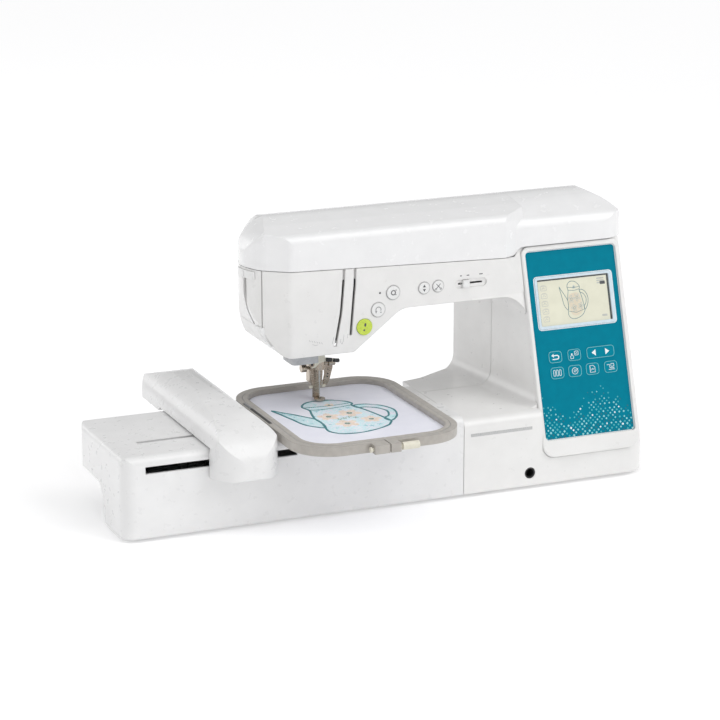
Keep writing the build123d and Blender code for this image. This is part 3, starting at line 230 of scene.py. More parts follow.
def smooth_path(pts, closed=False, per=8):
    """Catmull-Rom through the points."""
    n = len(pts)
    out = []
    for i in range(n if closed else n - 1):
        p = [pts[(i + j) % n] if closed else pts[min(max(i + j, 0), n - 1)] for j in (-1, 0, 1, 2)]
        for s in range(per):
            t = s / per
            out.append(tuple(0.5 * ((2 * p[1][k]) + (-p[0][k] + p[2][k]) * t + (2 * p[0][k] - 5 * p[1][k] + 4 * p[2][k] - p[3][k]) * t * t
                                    + (-p[0][k] + 3 * p[1][k] - 3 * p[2][k] + p[3][k]) * t ** 3) for k in (0, 1)))
    if not closed:
        out.append(tuple(pts[-1]))
    return out


def area2(poly):
    return 0.5 * sum(a[0] * b[1] - b[0] * a[1] for a, b in zip(poly, poly[1:] + poly[:1]))


class Decal:
    """Thin closed prisms laid on a surface."""

    def __init__(self, frame_fn, d0=-0.05, d1=0.05):
        self.f, self.d0, self.d1 = frame_fn, d0, d1
        self.v, self.q = [], []

    def poly(self, pts, d1=None):
        if area2(pts) < 0:
            pts = pts[::-1]
        d1 = self.d1 if d1 is None else d1
        b, n = len(self.v), len(pts)
        self.v += [self.f(x, y, self.d0) for x, y in pts] + [self.f(x, y, d1) for x, y in pts]
        self.q.append([b + i for i in range(n)][::-1])
        self.q.append([b + n + i for i in range(n)])
        self.q += [[b + i, b + (i + 1) % n, b + n + (i + 1) % n, b + n + i] for i in range(n)]

    def line(self, pts, w, closed=False, d1=None, taper=False):
        d1 = self.d1 if d1 is None else d1
        n = len(pts)
        L, Rr = [], []
        for i in range(n):
            if closed:
                a, b = pts[i - 1], pts[(i + 1) % n]
            else:
                a, b = pts[max(i - 1, 0)], pts[min(i + 1, n - 1)]
            dx, dy = b[0] - a[0], b[1] - a[1]
            l = math.hypot(dx, dy) or 1.0
            ww = w / 2
            if taper and not closed:
                t = i / (n - 1)
                ww *= 0.25 + 0.75 * math.sin(math.pi * t)
            # mitre correction
            if 0 < i < n - 1 or closed:
                p0, p1, p2 = pts[i - 1], pts[i], pts[(i + 1) % n]
                u = Vector((p1[0] - p0[0], p1[1] - p0[1])); v = Vector((p2[0] - p1[0], p2[1] - p1[1]))
                if u.length > 1e-9 and v.length > 1e-9:
                    c = max(0.35, math.sqrt(max(0.0, (1 + u.normalized().dot(v.normalized())) / 2)))
                    ww = ww / c
            nx, ny = -dy / l * ww, dx / l * ww
            L.append((pts[i][0] + nx, pts[i][1] + ny))
            Rr.append((pts[i][0] - nx, pts[i][1] - ny))
        b = len(self.v)
        for i in range(n):
            for q in (L[i], Rr[i]):
                self.v.append(self.f(q[0], q[1], self.d0))
            for q in (L[i], Rr[i]):
                self.v.append(self.f(q[0], q[1], d1))
        m = n if closed else n - 1
        for i in range(m):
            a, c = b + 4 * i, b + 4 * ((i + 1) % n)
            self.q += [[a + 2, a + 3, c + 3, c + 2], [a, c, c + 1, a + 1], [a, a + 2, c + 2, c], [a + 1, c + 1, c + 3, a + 3]]
        if not closed:
            a, c = b, b + 4 * (n - 1)
            self.q += [[a, a + 1, a + 3, a + 2], [c, c + 2, c + 3, c + 1]]

    def make(self, name, mat, body):
        return mesh_obj(name, self.v, self.q, mat, body)


# ------------------------------------------------------------------ camera, floor and light
cam_d = bpy.data.cameras.new("camera")
cam_d.lens, cam_d.sensor_width, cam_d.sensor_fit = 137.8, 36.0, "HORIZONTAL"
cam_d.clip_start, cam_d.clip_end = 0.05, 200
cam = bpy.data.objects.new("camera", cam_d)
scene.collection.objects.link(cam)
cam.location = P(-1175.1, -2488.9, 934.8)
cam.rotation_euler = (math.radians(90 - 15.9), 0, math.radians(-23))
scene.camera = cam

floor_me = bpy.data.meshes.new("floor")
floor_me.from_pydata([(-40, -40, 0), (40, -40, 0), (40, 40, 0), (-40, 40, 0)], [], [(0, 1, 2, 3)])
floor = bpy.data.objects.new("floor", floor_me)
scene.collection.objects.link(floor)
fm, fnt, fb = shader("floor")
fb.inputs["Base Color"].default_value = (0.90, 0.90, 0.905, 1)
fb.inputs["Roughness"].default_value = 0.75
fb.inputs["Specular IOR Level"].default_value = 0.2
fb.inputs["Emission Color"].default_value = (1, 1, 1, 1)
fb.inputs["Emission Strength"].default_value = 0.22
floor_me.materials.append(fm)

world = bpy.data.worlds.new("world")
scene.world = world
world.use_nodes = True
world.node_tree.nodes["Background"].inputs["Color"].default_value = (1.0, 1.0, 1.0, 1)
world.node_tree.nodes["Background"].inputs["Strength"].default_value = 0.40


def area_light(name, loc, target, size, power, color=(1, 1, 1)):
    d = bpy.data.lights.new(name, "AREA")
    d.shape, d.size, d.size_y, d.energy, d.color = "RECTANGLE", size[0], size[1], power, color
    o = bpy.data.objects.new(name, d)
    scene.collection.objects.link(o)
    o.location = loc
    o.rotation_euler = (Vector(target) - Vector(loc)).to_track_quat("-Z", "Y").to_euler()
    return o


def sun(name, direction, power, angle):
    d = bpy.data.lights.new(name, "SUN")
    d.energy, d.angle = power, math.radians(angle)
    o = bpy.data.objects.new(name, d)
    scene.collection.objects.link(o)
    o.rotation_euler = Vector(direction).to_track_quat("-Z", "Y").to_euler()
    return o


sun("sun_key", (-0.75, 0.62, -0.95), 0.95, 40)
sun("sun_top", (0.15, 0.1, -1.0), 0.75, 60)
area_light("soft_right", (1.6, -2.4, 1.5), (0, 0, 0.15), (1.6, 1.6), 10)
area_light("soft_left", (-2.4, -1.6, 1.2), (0, 0, 0.15), (0.7, 1.8), 8)
area_light("soft_back_left", (-1.3, 1.6, 0.9), (0.1, 0.05, 0.15), (1.2, 1.2), 8)
scene.view_settings.view_transform = "Standard"
scene.view_settings.look = "None"

# ------------------------------------------------------------------ hooped fabric
def weave(name, tint_a, tint_b, pitch):
    """Plain weave: warp and weft threads crossing at the given pitch in metres."""
    m, nt, b = shader(name)
    tc = add(nt, "ShaderNodeTexCoord")
    co = tc.outputs["Object"]
    sep = add(nt, "ShaderNodeSeparateXYZ")
    nt.links.new(co, sep.inputs[0])
    waves = []
    for axis in (0, 1):
        mul = add(nt, "ShaderNodeMath", operation="MULTIPLY")
        mul.inputs[1].default_value = 2 * math.pi / pitch
        nt.links.new(sep.outputs[axis], mul.inputs[0])
        sn = add(nt, "ShaderNodeMath", operation="SINE")
        nt.links.new(mul.outputs[0], sn.inputs[0])
        waves.append(sn)
    prod = add(nt, "ShaderNodeMath", operation="MULTIPLY")
    nt.links.new(waves[0].outputs[0], prod.inputs[0])
    nt.links.new(waves[1].outputs[0], prod.inputs[1])
    n1 = noise(nt, co, 26.0, 3.0, 0.5)
    ramp = add(nt, "ShaderNodeValToRGB")
    ramp.color_ramp.elements[0].position, ramp.color_ramp.elements[1].position = 0.35, 0.65
    ramp.color_ramp.elements[0].color, ramp.color_ramp.elements[1].color = (*tint_a, 1), (*tint_b, 1)
    nt.links.new(n1.outputs["Fac"], ramp.inputs["Fac"])
    nt.links.new(ramp.outputs["Color"], b.inputs["Base Color"])
    bp = add(nt, "ShaderNodeBump")
    bp.inputs["Strength"].default_value = 0.35
    bp.inputs["Distance"].default_value = 0.00008
    nt.links.new(prod.outputs[0], bp.inputs["Height"])
    nt.links.new(bp.outputs["Normal"], b.inputs["Normal"])
    n2 = noise(nt, co, 400.0, 2.0, 0.5)
    mr = add(nt, "ShaderNodeMapRange")
    mr.inputs["To Min"].default_value, mr.inputs["To Max"].default_value = 0.78, 0.9
    nt.links.new(n2.outputs["Fac"], mr.inputs["Value"])
    nt.links.new(mr.outputs["Result"], b.inputs["Roughness"])
    b.inputs["Sheen Weight"].default_value = 0.15
    b.inputs["Specular IOR Level"].default_value = 0.25
    return m


M["cotton"] = weave("cotton", (0.78, 0.785, 0.87), (0.84, 0.845, 0.92), 0.00045)
for nm, a, b2 in (("thread_teal", (0.0, 0.16, 0.19), (0.01, 0.24, 0.27)), ("thread_aqua", (0.44, 0.76, 0.80), (0.60, 0.86, 0.88)),
                  ("thread_peach", (0.80, 0.60, 0.50), (0.90, 0.76, 0.66)), ("thread_cream", (0.84, 0.76, 0.62), (0.92, 0.87, 0.76)),
                  ("thread_olive", (0.16, 0.26, 0.20), (0.24, 0.36, 0.27)), ("thread_blue", (0.16, 0.48, 0.56), (0.28, 0.60, 0.66))):
    M[nm] = finish_mat(nm, a, b2, (0.35, 0.5), 420, 2600, 0.25, sheen=0.3)

FX0, FX1, FY0, FY1, FR = -200.6, -37.4, -65.6, 144.6, 33.6


def loop_rr(s, n=10):
    """Rounded rectangle shrunk towards its centre by the factor s."""
    cx, cy = (FX0 + FX1) / 2, (FY0 + FY1) / 2
    return [(cx + (x - cx) * s, cy + (y - cy) * s) for x, y in rrect2(FX0, FY0, FX1, FY1, FR, n)]


def cloth_z(x, y):
    """Faint puckers between the stitched design and the ring; flat at the ring."""
    ex = min(x - FX0, FX1 - x, y - FY0, FY1 - y)
    edge = max(0.0, min(1.0, ex / 14.0))
    d = math.hypot((x + 122) / 62.0, (y - 34) / 66.0)
    pull = math.exp(-((d - 1.0) / 0.35) ** 2)
    a = math.atan2(y - 34, x + 122)
    return 94.99 + edge * (0.05 * math.sin(0.05 * x + 0.07 * y) + 0.22 * pull * (0.5 + 0.5 * math.sin(17 * a + 1.3)) - 0.10)


S = [1.0, 0.985, 0.96, 0.93, 0.89, 0.84, 0.78, 0.71, 0.63, 0.54, 0.45, 0.36, 0.27, 0.18, 0.09]
verts, faces = [], []
N = None
for side in (0, 1):
    for s in S:
        lp = loop_rr(s, 14)
        N = len(lp)
        for x, y in lp:
            verts.append(P(x, y, min(cloth_z(x, y), 95.09 if s > 0.95 else 99) - 0.35 * side))
cxy = ((FX0 + FX1) / 2, (FY0 + FY1) / 2)
ctop = len(verts); verts.append(P(*cxy, cloth_z(*cxy)))
cbot = len(verts); verts.append(P(*cxy, cloth_z(*cxy) - 0.35))
K = len(S)
for side in (0, 1):
    o = side * K * N
    for k2 in range(K - 1):
        for i in range(N):
            j = (i + 1) % N
            faces.append([o + k2 * N + i, o + k2 * N + j, o + (k2 + 1) * N + j, o + (k2 + 1) * N + i])
    for i in range(N):
        faces.append([o + (K - 1) * N + i, o + (K - 1) * N + (i + 1) % N, cbot if side else ctop])
for i in range(N):
    j = (i + 1) % N
    faces.append([i, K * N + i, K * N + j, j])
cloth = mesh_obj("hooped_cloth", verts, faces, M["cotton"], "hoop", smooth=True, angle=50)
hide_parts("hooped_fabric")

# ------------------------------------------------------------------ embroidery: raised stitches
POT = [(-150, 80), (-146.5, 89), (-139, 95), (-128, 97), (-113, 94), (-101, 85), (-96, 76), (-99, 69), (-96, 60), (-90, 40), (-83, 6),
       (-86, -4), (-93, -12), (-110, -20), (-130, -23.5), (-146, -20), (-155.5, -9), (-154.5, 6), (-152, 22), (-153, 38), (-150, 55), (-147, 68)]
SPOUT = [(-184, 82), (-176.5, 71), (-168, 60), (-160, 48), (-153, 36), (-152, 20), (-154.5, 6), (-163, 12), (-171, 24), (-175.5, 44), (-179.5, 62)]
HANDLE = [(-98, 67), (-88, 67.5), (-76, 61), (-67.5, 49), (-64.5, 36), (-68, 21), (-75, 9), (-83, 3), (-85, 14), (-78, 20), (-73.5, 31), (-73.5, 40), (-79, 50), (-88, 57), (-96, 58)]
FLOWERS = [(-137, 40, 12.5, 0.2), (-112, 44, 13.5, 0.9), (-128, 11, 13.0, 0.5), (-99, 16, 11.5, 0.0), (-121, 78, 6.0, 0.4)]


class Stitches:
    """Rounded ridges of thread on the cloth."""

    def __init__(self):
        self.v, self.q = [], []

    def add(self, a, b, w=0.5, h=0.22):
        dx, dy = b[0] - a[0], b[1] - a[1]
        l = math.hypot(dx, dy)
        if l < 0.2:
            return
        ux, uy = dx / l, dy / l
        nx, ny = -uy * w / 2, ux * w / 2
        t = min(0.35, l * 0.2)
        za, zb = cloth_z(*a), cloth_z(*b)
        n = len(self.v)
        for (x, y), z0 in ((a, za), (b, zb)):
            self.v += [P(x + nx, y + ny, z0 - 0.02), P(x - nx, y - ny, z0 - 0.02)]
        m = ((a[0] + ux * t, a[1] + uy * t), (b[0] - ux * t, b[1] - uy * t))
        for (x, y), z0 in ((m[0], za), (m[1], zb)):
            self.v += [P(x + nx * 0.55, y + ny * 0.55, z0 + h), P(x - nx * 0.55, y - ny * 0.55, z0 + h)]
        self.q += [[n, n + 2, n + 3, n + 1], [n + 4, n + 5, n + 7, n + 6], [n, n + 1, n + 5, n + 4], [n + 2, n + 6, n + 7, n + 3],
                   [n, n + 4, n + 6, n + 2], [n + 1, n + 3, n + 7, n + 5]]

    def satin(self, pts, w, step=0.62, closed=True, h=0.42, lean=0.35):
        """Satin column along a path: close stitches across it."""
        seq = pts + ([pts[0]] if closed else [])
        carry = 0.0
        for p, q in zip(seq, seq[1:]):
            l = math.hypot(q[0] - p[0], q[1] - p[1])
            if l < 1e-6:
                continue
            ux, uy = (q[0] - p[0]) / l, (q[1] - p[1]) / l
            s = carry
            while s < l:
                x, y = p[0] + ux * s, p[1] + uy * s
                ww = w / 2 * (1 + 0.06 * (R.random() - 0.5))
                self.add((x - uy * ww - ux * lean, y + ux * ww - uy * lean), (x + uy * ww + ux * lean, y - ux * ww + uy * lean), step * 0.95, h)
                s += step
            carry = s - l

    def fill(self, poly, angle, row, length, inside=None, w=0.42, h=0.2, skip=0.0):
        """Running rows across a polygon."""
        ca, sa = math.cos(angle), math.sin(angle)
        rot = [(x * ca + y * sa, -x * sa + y * ca) for x, y in poly]
        y0, y1 = min(p[1] for p in rot), max(p[1] for p in rot)
        y, k2 = y0 + row * 0.5, 0
        while y < y1:
            xs = []
            for (ax, ay), (bx, by) in zip(rot, rot[1:] + rot[:1]):
                if (ay > y) != (by > y):
                    xs.append(ax + (y - ay) / (by - ay) * (bx - ax))
            xs.sort()
            for a, b in zip(xs[::2], xs[1::2]):
                x = a - length * (0.5 if k2 % 2 else 0.15)
                while x < b:
                    p, q = max(x, a), min(x + length * 0.93, b)
                    if q - p > 0.5 and R.random() >= skip:
                        u = ((p * ca - y * sa), (p * sa + y * ca))
                        v = ((q * ca - y * sa), (q * sa + y * ca))
                        mid = ((u[0] + v[0]) / 2, (u[1] + v[1]) / 2)
                        if inside is None or inside(mid):
                            self.add(u, v, w, h)
                    x += length
            y += row
            k2 += 1

    def make(self, name, mat):
        return mesh_obj(name, self.v, self.q, mat, "hoop", smooth=True, angle=40)


def clear_of_flowers(p):
    return all(math.hypot(p[0] - f[0], p[1] - f[1]) > f[2] * 0.86 for f in FLOWERS)


def petal(f, i, n=5, grow=1.0):
    """Outline of one petal of a flower."""
    cx, cy, r, ph = f
    a = ph + 2 * math.pi * i / n
    out = []
    for t in range(13):
        s = t / 12
        rr = r * grow * (0.16 + 0.84 * math.sin(math.pi * min(1.0, s * 0.5 + 0.5 * s)) ** 0.5 * 0.9)
        aa = a + (s - 0.5) * 2 * math.pi / n * 0.94
        out.append((cx + rr * math.cos(aa), cy + rr * math.sin(aa)))
    return [(cx, cy)] + out


pot, spout, handle = smooth_path(POT, True, 5), smooth_path(SPOUT, True, 5), smooth_path(HANDLE, True, 5)
st_teal, st_aqua, st_peach, st_cream, st_olive, st_blue = (Stitches() for _ in range(6))
st_aqua.fill(pot, 0.5, 1.25, 3.6, clear_of_flowers, 0.6, 0.16, 0.22)
st_aqua.fill(spout, 1.1, 1.0, 3.0, None, 0.7, 0.18, 0.08)
st_aqua.fill(handle, -0.4, 1.0, 2.8, None, 0.7, 0.18, 0.08)
for f in FLOWERS:
    cx, cy, r, ph = f
    for i in range(5):
        a0 = ph + 2 * math.pi * i / 5
        for s in range(-5, 6):
            aa = a0 + s * 0.105
            reach = r * (1.0 - 0.035 * s * s * 0.45) * (0.97 + 0.05 * R.random())
            inner = r * (0.26 + 0.05 * R.random())
            mid = (inner + reach) * 0.56
            tgt = st_peach if (s + i) % 3 else st_cream
            tgt.add((cx + inner * math.cos(aa), cy + inner * math.sin(aa)), (cx + mid * math.cos(aa), cy + mid * math.sin(aa)), 0.8, 0.24)
            tgt.add((cx + mid * math.cos(aa), cy + mid * math.sin(aa)), (cx + reach * math.cos(aa), cy + reach * math.sin(aa)), 0.95, 0.24)
    for s in range(12):
        aa = ph + s * 0.5236
        st_olive.add((cx, cy), (cx + r * 0.24 * math.cos(aa), cy + r * 0.24 * math.sin(aa)), 0.6, 0.34)
for bx, by, n in ((-124, 29, 5), (-118, 31, 4), (-130, 27, 4), (-112, 27, 4), (-108, -6, 5), (-98, -4, 4), (-113, -3, 4), (-106, 62, 4), (-136, 66, 4), (-142, 62, 3)):
    for s in range(n):
        aa = s * 2 * math.pi / n + bx
        tgt = st_olive if by in (29, 31, 27) else st_blue
        tgt.add((bx, by), (bx + 3.1 * math.cos(aa), by + 3.1 * math.sin(aa)), 0.9, 0.26)
for bx, by in ((-170, 52), (-166, 38), (-172, 60), (-162, 24), (-176, 68), (-80, 61), (-70, 40), (-69, 28), (-75, 14), (-134, 84), (-110, 86), (-144, 78),
               (-92, 30), (-146, 14), (-144, 0), (-116, 60), (-150, 46), (-102, 52)):
    for s in range(3):
        aa = s * 2.1 + by
        st_blue.add((bx, by), (bx + 2.2 * math.cos(aa), by + 2.2 * math.sin(aa)), 0.7, 0.24)
for pth, w in ((pot, 2.4), (spout, 2.2), (handle, 2.4)):
    st_teal.satin(pth, w)
st_teal.satin(smooth_path([(-147, 69), (-136, 66), (-122, 66.5), (-108, 68), (-98.5, 70)], False, 6), 0.9, closed=False)
st_teal.satin(smooth_path([(-149.5, 79), (-136, 76.5), (-120, 75.5), (-106, 76), (-97, 77.5)], False, 6), 0.9, closed=False)
pieces = [st.make(n, M[m]) for st, n, m in ((st_aqua, "stitch_fill", "thread_aqua"), (st_peach, "stitch_petals", "thread_peach"), (st_cream, "stitch_petal_light", "thread_cream"),
                                             (st_olive, "stitch_centres", "thread_olive"), (st_blue, "stitch_leaves", "thread_blue"), (st_teal, "stitch_outline", "thread_teal"))]

# ------------------------------------------------------------------ control panel graphics
def panel_at(base):
    return lambda u, v, d: on_panel(u, v, d, base)


def zl(z):
    return (z - PZ0) / CT


KEYS = [(119.0, 134.0, 15.6), (141.6, 134.0, 15.6), (173.0, 134.0, 33.0),
        (119.4, 117.6, 15.6), (140.4, 117.6, 15.6), (161.4, 117.6, 15.6), (183.4, 117.6, 15.6)]
lines = Decal(panel_at(-0.45), -0.02, 0.06)
for x, z, w in KEYS:
    h = 12.4
    lines.line(rrect2(x - w / 2 + 0.3, zl(z) - h / 2 + 0.3, x + w / 2 - 0.3, zl(z) + h / 2 - 0.3, 3.3), 0.5, closed=True)
lines.make("key_outlines", M["icon_teal"], "machine")
ic = Decal(panel_at(-0.45), -0.02, 0.07)
x, y = KEYS[0][0], zl(KEYS[0][1])
ic.line([(x - 3.6, y - 2.4), (x + 2.0, y - 2.4)] + circle(x + 2.0, y - 0.4, 2.0, 10, -80, 80) + [(x + 2.0, y + 1.6), (x - 2.2, y + 1.6)], 1.15)
ic.poly([(x - 4.6, y + 1.6), (x - 1.9, y + 3.7), (x - 1.9, y - 0.5)])
x, y = KEYS[2][0], zl(KEYS[2][1])
ic.poly([(x - 10.6, y), (x - 5.8, y + 3.4), (x - 5.8, y - 3.4)])
ic.poly([(x + 10.6, y), (x + 5.8, y - 3.4), (x + 5.8, y + 3.4)])
ic.make("key_icons_solid", M["icon_white"], "machine")
th = Decal(panel_at(-0.45), -0.02, 0.07)
x, y = KEYS[1][0], zl(KEYS[1][1])
th.line(rrect2(x - 4.6, y - 3.8, x - 1.2, y - 0.6, 0.6, 3), 0.5, closed=True)
th.poly(circle(x - 2.9, y + 1.0, 0.9, 10))
th.line(rrect2(x + 0.4, y - 0.4, x + 4.8, y + 3.8, 0.7, 3), 0.5, closed=True)
th.line([(x + 1.4, y + 0.6), (x + 2.6, y + 2.4), (x + 3.8, y + 0.8)], 0.45)
x, y = KEYS[3][0], zl(KEYS[3][1])
for dx in (-3.4, 0, 3.4):
    th.line(rrect2(x + dx - 1.1, y - 3.2, x + dx + 1.1, y + 3.2, 1.05, 5), 0.5, closed=True)
x, y = KEYS[4][0], zl(KEYS[4][1])
th.line(circle(x, y, 3.4, 22), 0.5, closed=True)
th.line(circle(x, y, 1.2, 12), 0.45, closed=True)
th.line([(x + 1.2, y), (x + 3.6, y + 2.6)], 0.45)
x, y = KEYS[5][0], zl(KEYS[5][1])
th.line([(x - 2.9, y - 3.6), (x - 2.9, y + 3.6), (x + 1.0, y + 3.6), (x + 2.9, y + 1.8), (x + 2.9, y - 3.6)], 0.5, closed=True)
th.line([(x - 1.5, y - 1.6), (x - 0.3, y + 0.6), (x + 0.6, y - 0.8), (x + 1.7, y + 0.4)], 0.45)
x, y = KEYS[6][0], zl(KEYS[6][1])
th.line([(x - 4.4, y + 2.4), (x - 1.6, y + 2.4), (x - 1.0, y - 1.2), (x + 4.2, y - 1.2)], 0.5)
th.line([(x - 2.6, y - 2.8), (x + 4.4, y - 2.8)], 0.6)
th.line(rrect2(x + 0.2, y + 0.2, x + 3.8, y + 3.2, 0.8, 4), 0.5, closed=True)
th.make("key_icons_line", M["icon_white"], "machine")

# Lattice of small diamonds that thins out upwards.
mid_d, light_d, dark_d, white_d = (Decal(panel_at(0.0), -0.02, 0.06) for _ in range(4))
row = 0
v = 1.6
while v < 60:
    u = 98.6 + (2.7 if row % 2 else 0.0)
    while u < 202.4:
        f = v / 60.0
        edge = 0.50 + 0.18 * math.sin(u * 0.075 - 5)
        if R.random() < 1 / (1 + math.exp((f - edge) / 0.07)):
            size = (1.35 - 0.6 * f) * (0.85 + 0.3 * R.random())
            pick = R.random()
            tgt = mid_d
            if pick < 0.16:
                tgt = dark_d
            elif pick < 0.16 + 0.34 * (1 - f) + 0.08:
                tgt = light_d
            elif pick > 0.95:
                tgt = white_d
            tgt.poly([(u - size, v), (u, v - size), (u + size, v), (u, v + size)])
        u += 5.4
    v += 2.7
    row += 1
mid_d.make("diamonds_mid", M["dot_mid"], "machine")
light_d.make("diamonds_light", M["dot_light"], "machine")
dark_d.make("diamonds_dark", M["dot_dark"], "machine")
white_d.make("diamonds_white", M["icon_white"], "machine")

# Light rim round the sheet and round the display.
rim = Decal(panel_at(0.0), -0.02, 0.12)
rim.line(rrect2(96.7, -0.3, 203.3, 200.7, 4.2, 6), 0.7, closed=True)
rim.line(rrect2(103.7, 116.3, 196.9, 173.1, 3.6, 6), 0.9, closed=True)
rim.make("panel_rim", M["rim"], "machine")

# Picture on the display: painted shadow of the recess rim along its top, right and left edges, side icons and a line
# drawing of a pot.
# Painted shadow: dark bands inside the display's top, right and left edges stand in for the shade cast by the recessed
# rim.
recess_shade = Decal(panel_at(0.9), -0.02, 0.05)
recess_shade.poly([(107.4, 168.2), (192.4, 168.2), (192.4, 169.7), (107.4, 169.7)])
recess_shade.poly([(190.4, 120.3), (192.4, 120.3), (192.4, 168.2), (190.4, 168.2)])
recess_shade.poly([(107.4, 120.3), (108.2, 120.3), (108.2, 168.2), (107.4, 168.2)])
recess_shade.make("display_recess_shadow", M["lcd_dark"], "machine")
sd = Decal(panel_at(0.9), -0.02, 0.04)
for i in range(5):
    yy = 160.5 - i * 8.3
    sd.line(rrect2(111.2, yy - 2.4, 118.0, yy + 2.4, 0.8, 3), 0.45, closed=True)
    sd.line([(112.6, yy - 0.9), (114.4, yy + 1.0), (116.4, yy - 0.7)], 0.5)
    sd.poly([(112.6, yy + 3.0), (116.8, yy + 3.0), (116.8, yy + 3.4), (112.6, yy + 3.4)])
for yy in (165.4, 163.0, 160.6):
    sd.poly([(178.5, yy - 0.7), (187.2, yy - 0.7), (187.2, yy + 0.7), (178.5, yy + 0.7)])
sd.poly([(181.0, 124.4), (187.0, 124.4), (187.0, 126.6), (181.0, 126.6)])
sd.make("display_side_icons", M["lcd_grey"], "machine")
bl = Decal(panel_at(0.9), -0.02, 0.055)
bl.poly(rrect2(182.0, 158.8, 188.4, 162.2, 0.7, 3))
bl.make("display_marker", M["lcd_dark"], "machine")


def on_lcd(p):
    """The same pot, upright and narrower, at the size of the display's drawing."""
    return (150.6 + (p[0] + 121) * 0.275, 145.2 + (p[1] - 37) * 0.335)


pe = Decal(panel_at(0.9), -0.02, 0.03)
pe.poly([on_lcd(p) for p in smooth_path([(-148, 50), (-146, 12), (-140, -8), (-120, -14), (-100, -6), (-92, 10), (-100, 52), (-120, 60)], True, 4)])
pe.make("display_body_tint", M["lcd_peach"], "machine")
ld = Decal(panel_at(0.9), 0.0, 0.06)
for pth in (pot, spout, handle):
    ld.line([on_lcd(p) for p in pth][::2], 0.62, closed=True)
ld.line([on_lcd(p) for p in ((-147, 69), (-122, 66.5), (-98.5, 70))], 0.5)
ld.line([on_lcd(p) for p in ((-149, 79), (-122, 75.5), (-97, 78))], 0.5)
ld.line([on_lcd(p) for p in ((-152, 2), (-120, -4), (-86, 4))], 0.45)
for f in FLOWERS:
    ld.line([on_lcd((f[0] + f[2] * 0.3 * math.cos(t * 0.7854), f[1] + f[2] * 0.3 * math.sin(t * 0.7854))) for t in range(8)], 0.35, closed=True)
ld.make("display_drawing", M["lcd_line"], "machine")
ft = Decal(panel_at(0.9), 0.0, 0.045)
for f in FLOWERS:
    for i in range(5):
        a = f[3] + i * 1.2566
        ft.line([on_lcd((f[0] + f[2] * rr * math.cos(a + da), f[1] + f[2] * rr * math.sin(a + da))) for rr, da in ((0.35, 0), (0.8, -0.35), (1.0, 0), (0.8, 0.35))], 0.3, closed=True)
ft.make("display_flowers", M["lcd_blue"], "machine")

# ------------------------------------------------------------------ marks on the arm's front
ARM = on_front(50.0)
# Painted shade: pale grey rings round the buttons stand in for the shaded gaps between each button and the cover.
gap_shade = Decal(ARM, -0.05, 0.12)
for bx, bz, br in ((-77.1, 201.2, 7.4), (-60.2, 217.9, 7.2), (-24.9, 219.2, 6.0), (-8.8, 219.7, 6.0)):
    gap_shade.line(circle(bx, bz, br + 0.75, 40), 0.55, closed=True)
gap_shade.make("button_gap_shade_rings", M["ink_pale"], "machine")


def on_button(name, body, y0, draw, mat="ink"):
    d = Decal(on_front(y0), -0.03, 0.08)
    draw(d)
    d.make(name, M[mat], body)


def sym_start(d):
    d.poly(smooth_path([(-92.0, 181.6 + 3.0), (-90.9, 186.6), (-91.3, 188.6), (-92.6, 188.2), (-93.2, 186.2)], True, 4))
    d.poly(circle(-93.2, 181.2, 1.0, 14))


def sym_reverse(d):
    d.line(circle(-77.1, 201.4, 2.9, 16, -25, 205), 0.9)
    d.poly([(-80.9, 200.2), (-78.3, 200.2), (-79.8, 197.4)])
    d.poly(circle(-74.3, 198.4, 0.75, 10))


def sym_tie(d):
    d.line(circle(-60.2, 217.9, 2.3, 18), 1.0, closed=True)
    d.poly(circle(-57.2, 220.4, 0.6, 8)); d.poly(circle(-57.4, 215.6, 0.6, 8))


def sym_needle(d):
    d.poly([(-26.6, 220.2), (-23.2, 220.2), (-24.9, 223.0)])
    d.poly([(-26.6, 218.2), (-24.9, 215.4), (-23.2, 218.2)])


def sym_cut(d):
    d.line([(-11.2, 222.4), (-6.8, 217.6)], 0.6)
    d.line([(-6.4, 222.4), (-10.8, 217.6)], 0.6)
    d.line(circle(-11.6, 216.9, 0.9, 10), 0.45, closed=True)
    d.line(circle(-6.0, 216.9, 0.9, 10), 0.45, closed=True)


on_button("symbol_start", "button_start", 48.6, sym_start)
on_button("symbol_reverse", "button_reverse", 48.8, sym_reverse, "ink_grey")
on_button("symbol_tie_off", "button_tie_off", 48.8, sym_tie)
on_button("symbol_needle", "button_needle", 48.8, sym_needle)
on_button("symbol_cutter", "button_cutter", 48.8, sym_cut)
mk = Decal(ARM, -0.05, 0.06)
mk.poly(circle(-74.9, 218.8, 1.15, 16))
for i, (xa, hh) in enumerate(((17.6, 1.0), (25.7, 1.5), (40.8, 2.0))):
    mk.poly([(xa - hh, 228 - 0.5), (xa + hh, 228 - 0.5), (xa + hh, 228 + 0.5), (xa - hh, 228 + 0.5)])
mk.make("front_marks", M["ink"], "machine")
gd = Decal(ARM, -0.05, 0.06)
gd.line([(-126.6, 177.3), (-127.6, 173.4), (-128.6, 169.6)], 0.55)
gd.line([(-111.0, 178.4), (-111.6, 174.2)], 0.45)
gd.line([(-115.4, 178.4), (-116.2, 171.4), (-117.6, 168.6), (-119.4, 171.0), (-118.8, 174.0)], 0.45)
for i in range(6):
    gd.line([(-154.2 + i * 2.7, 176.4 - 0.75 * i), (-152.9 + i * 2.7, 174.6 - 0.75 * i)], 0.6)
gd.line([(-150.6, 171.6), (-147.4, 170.2), (-144.4, 170.6)], 0.5)
gd.make("thread_guide_marks", M["ink_pale"], "machine")

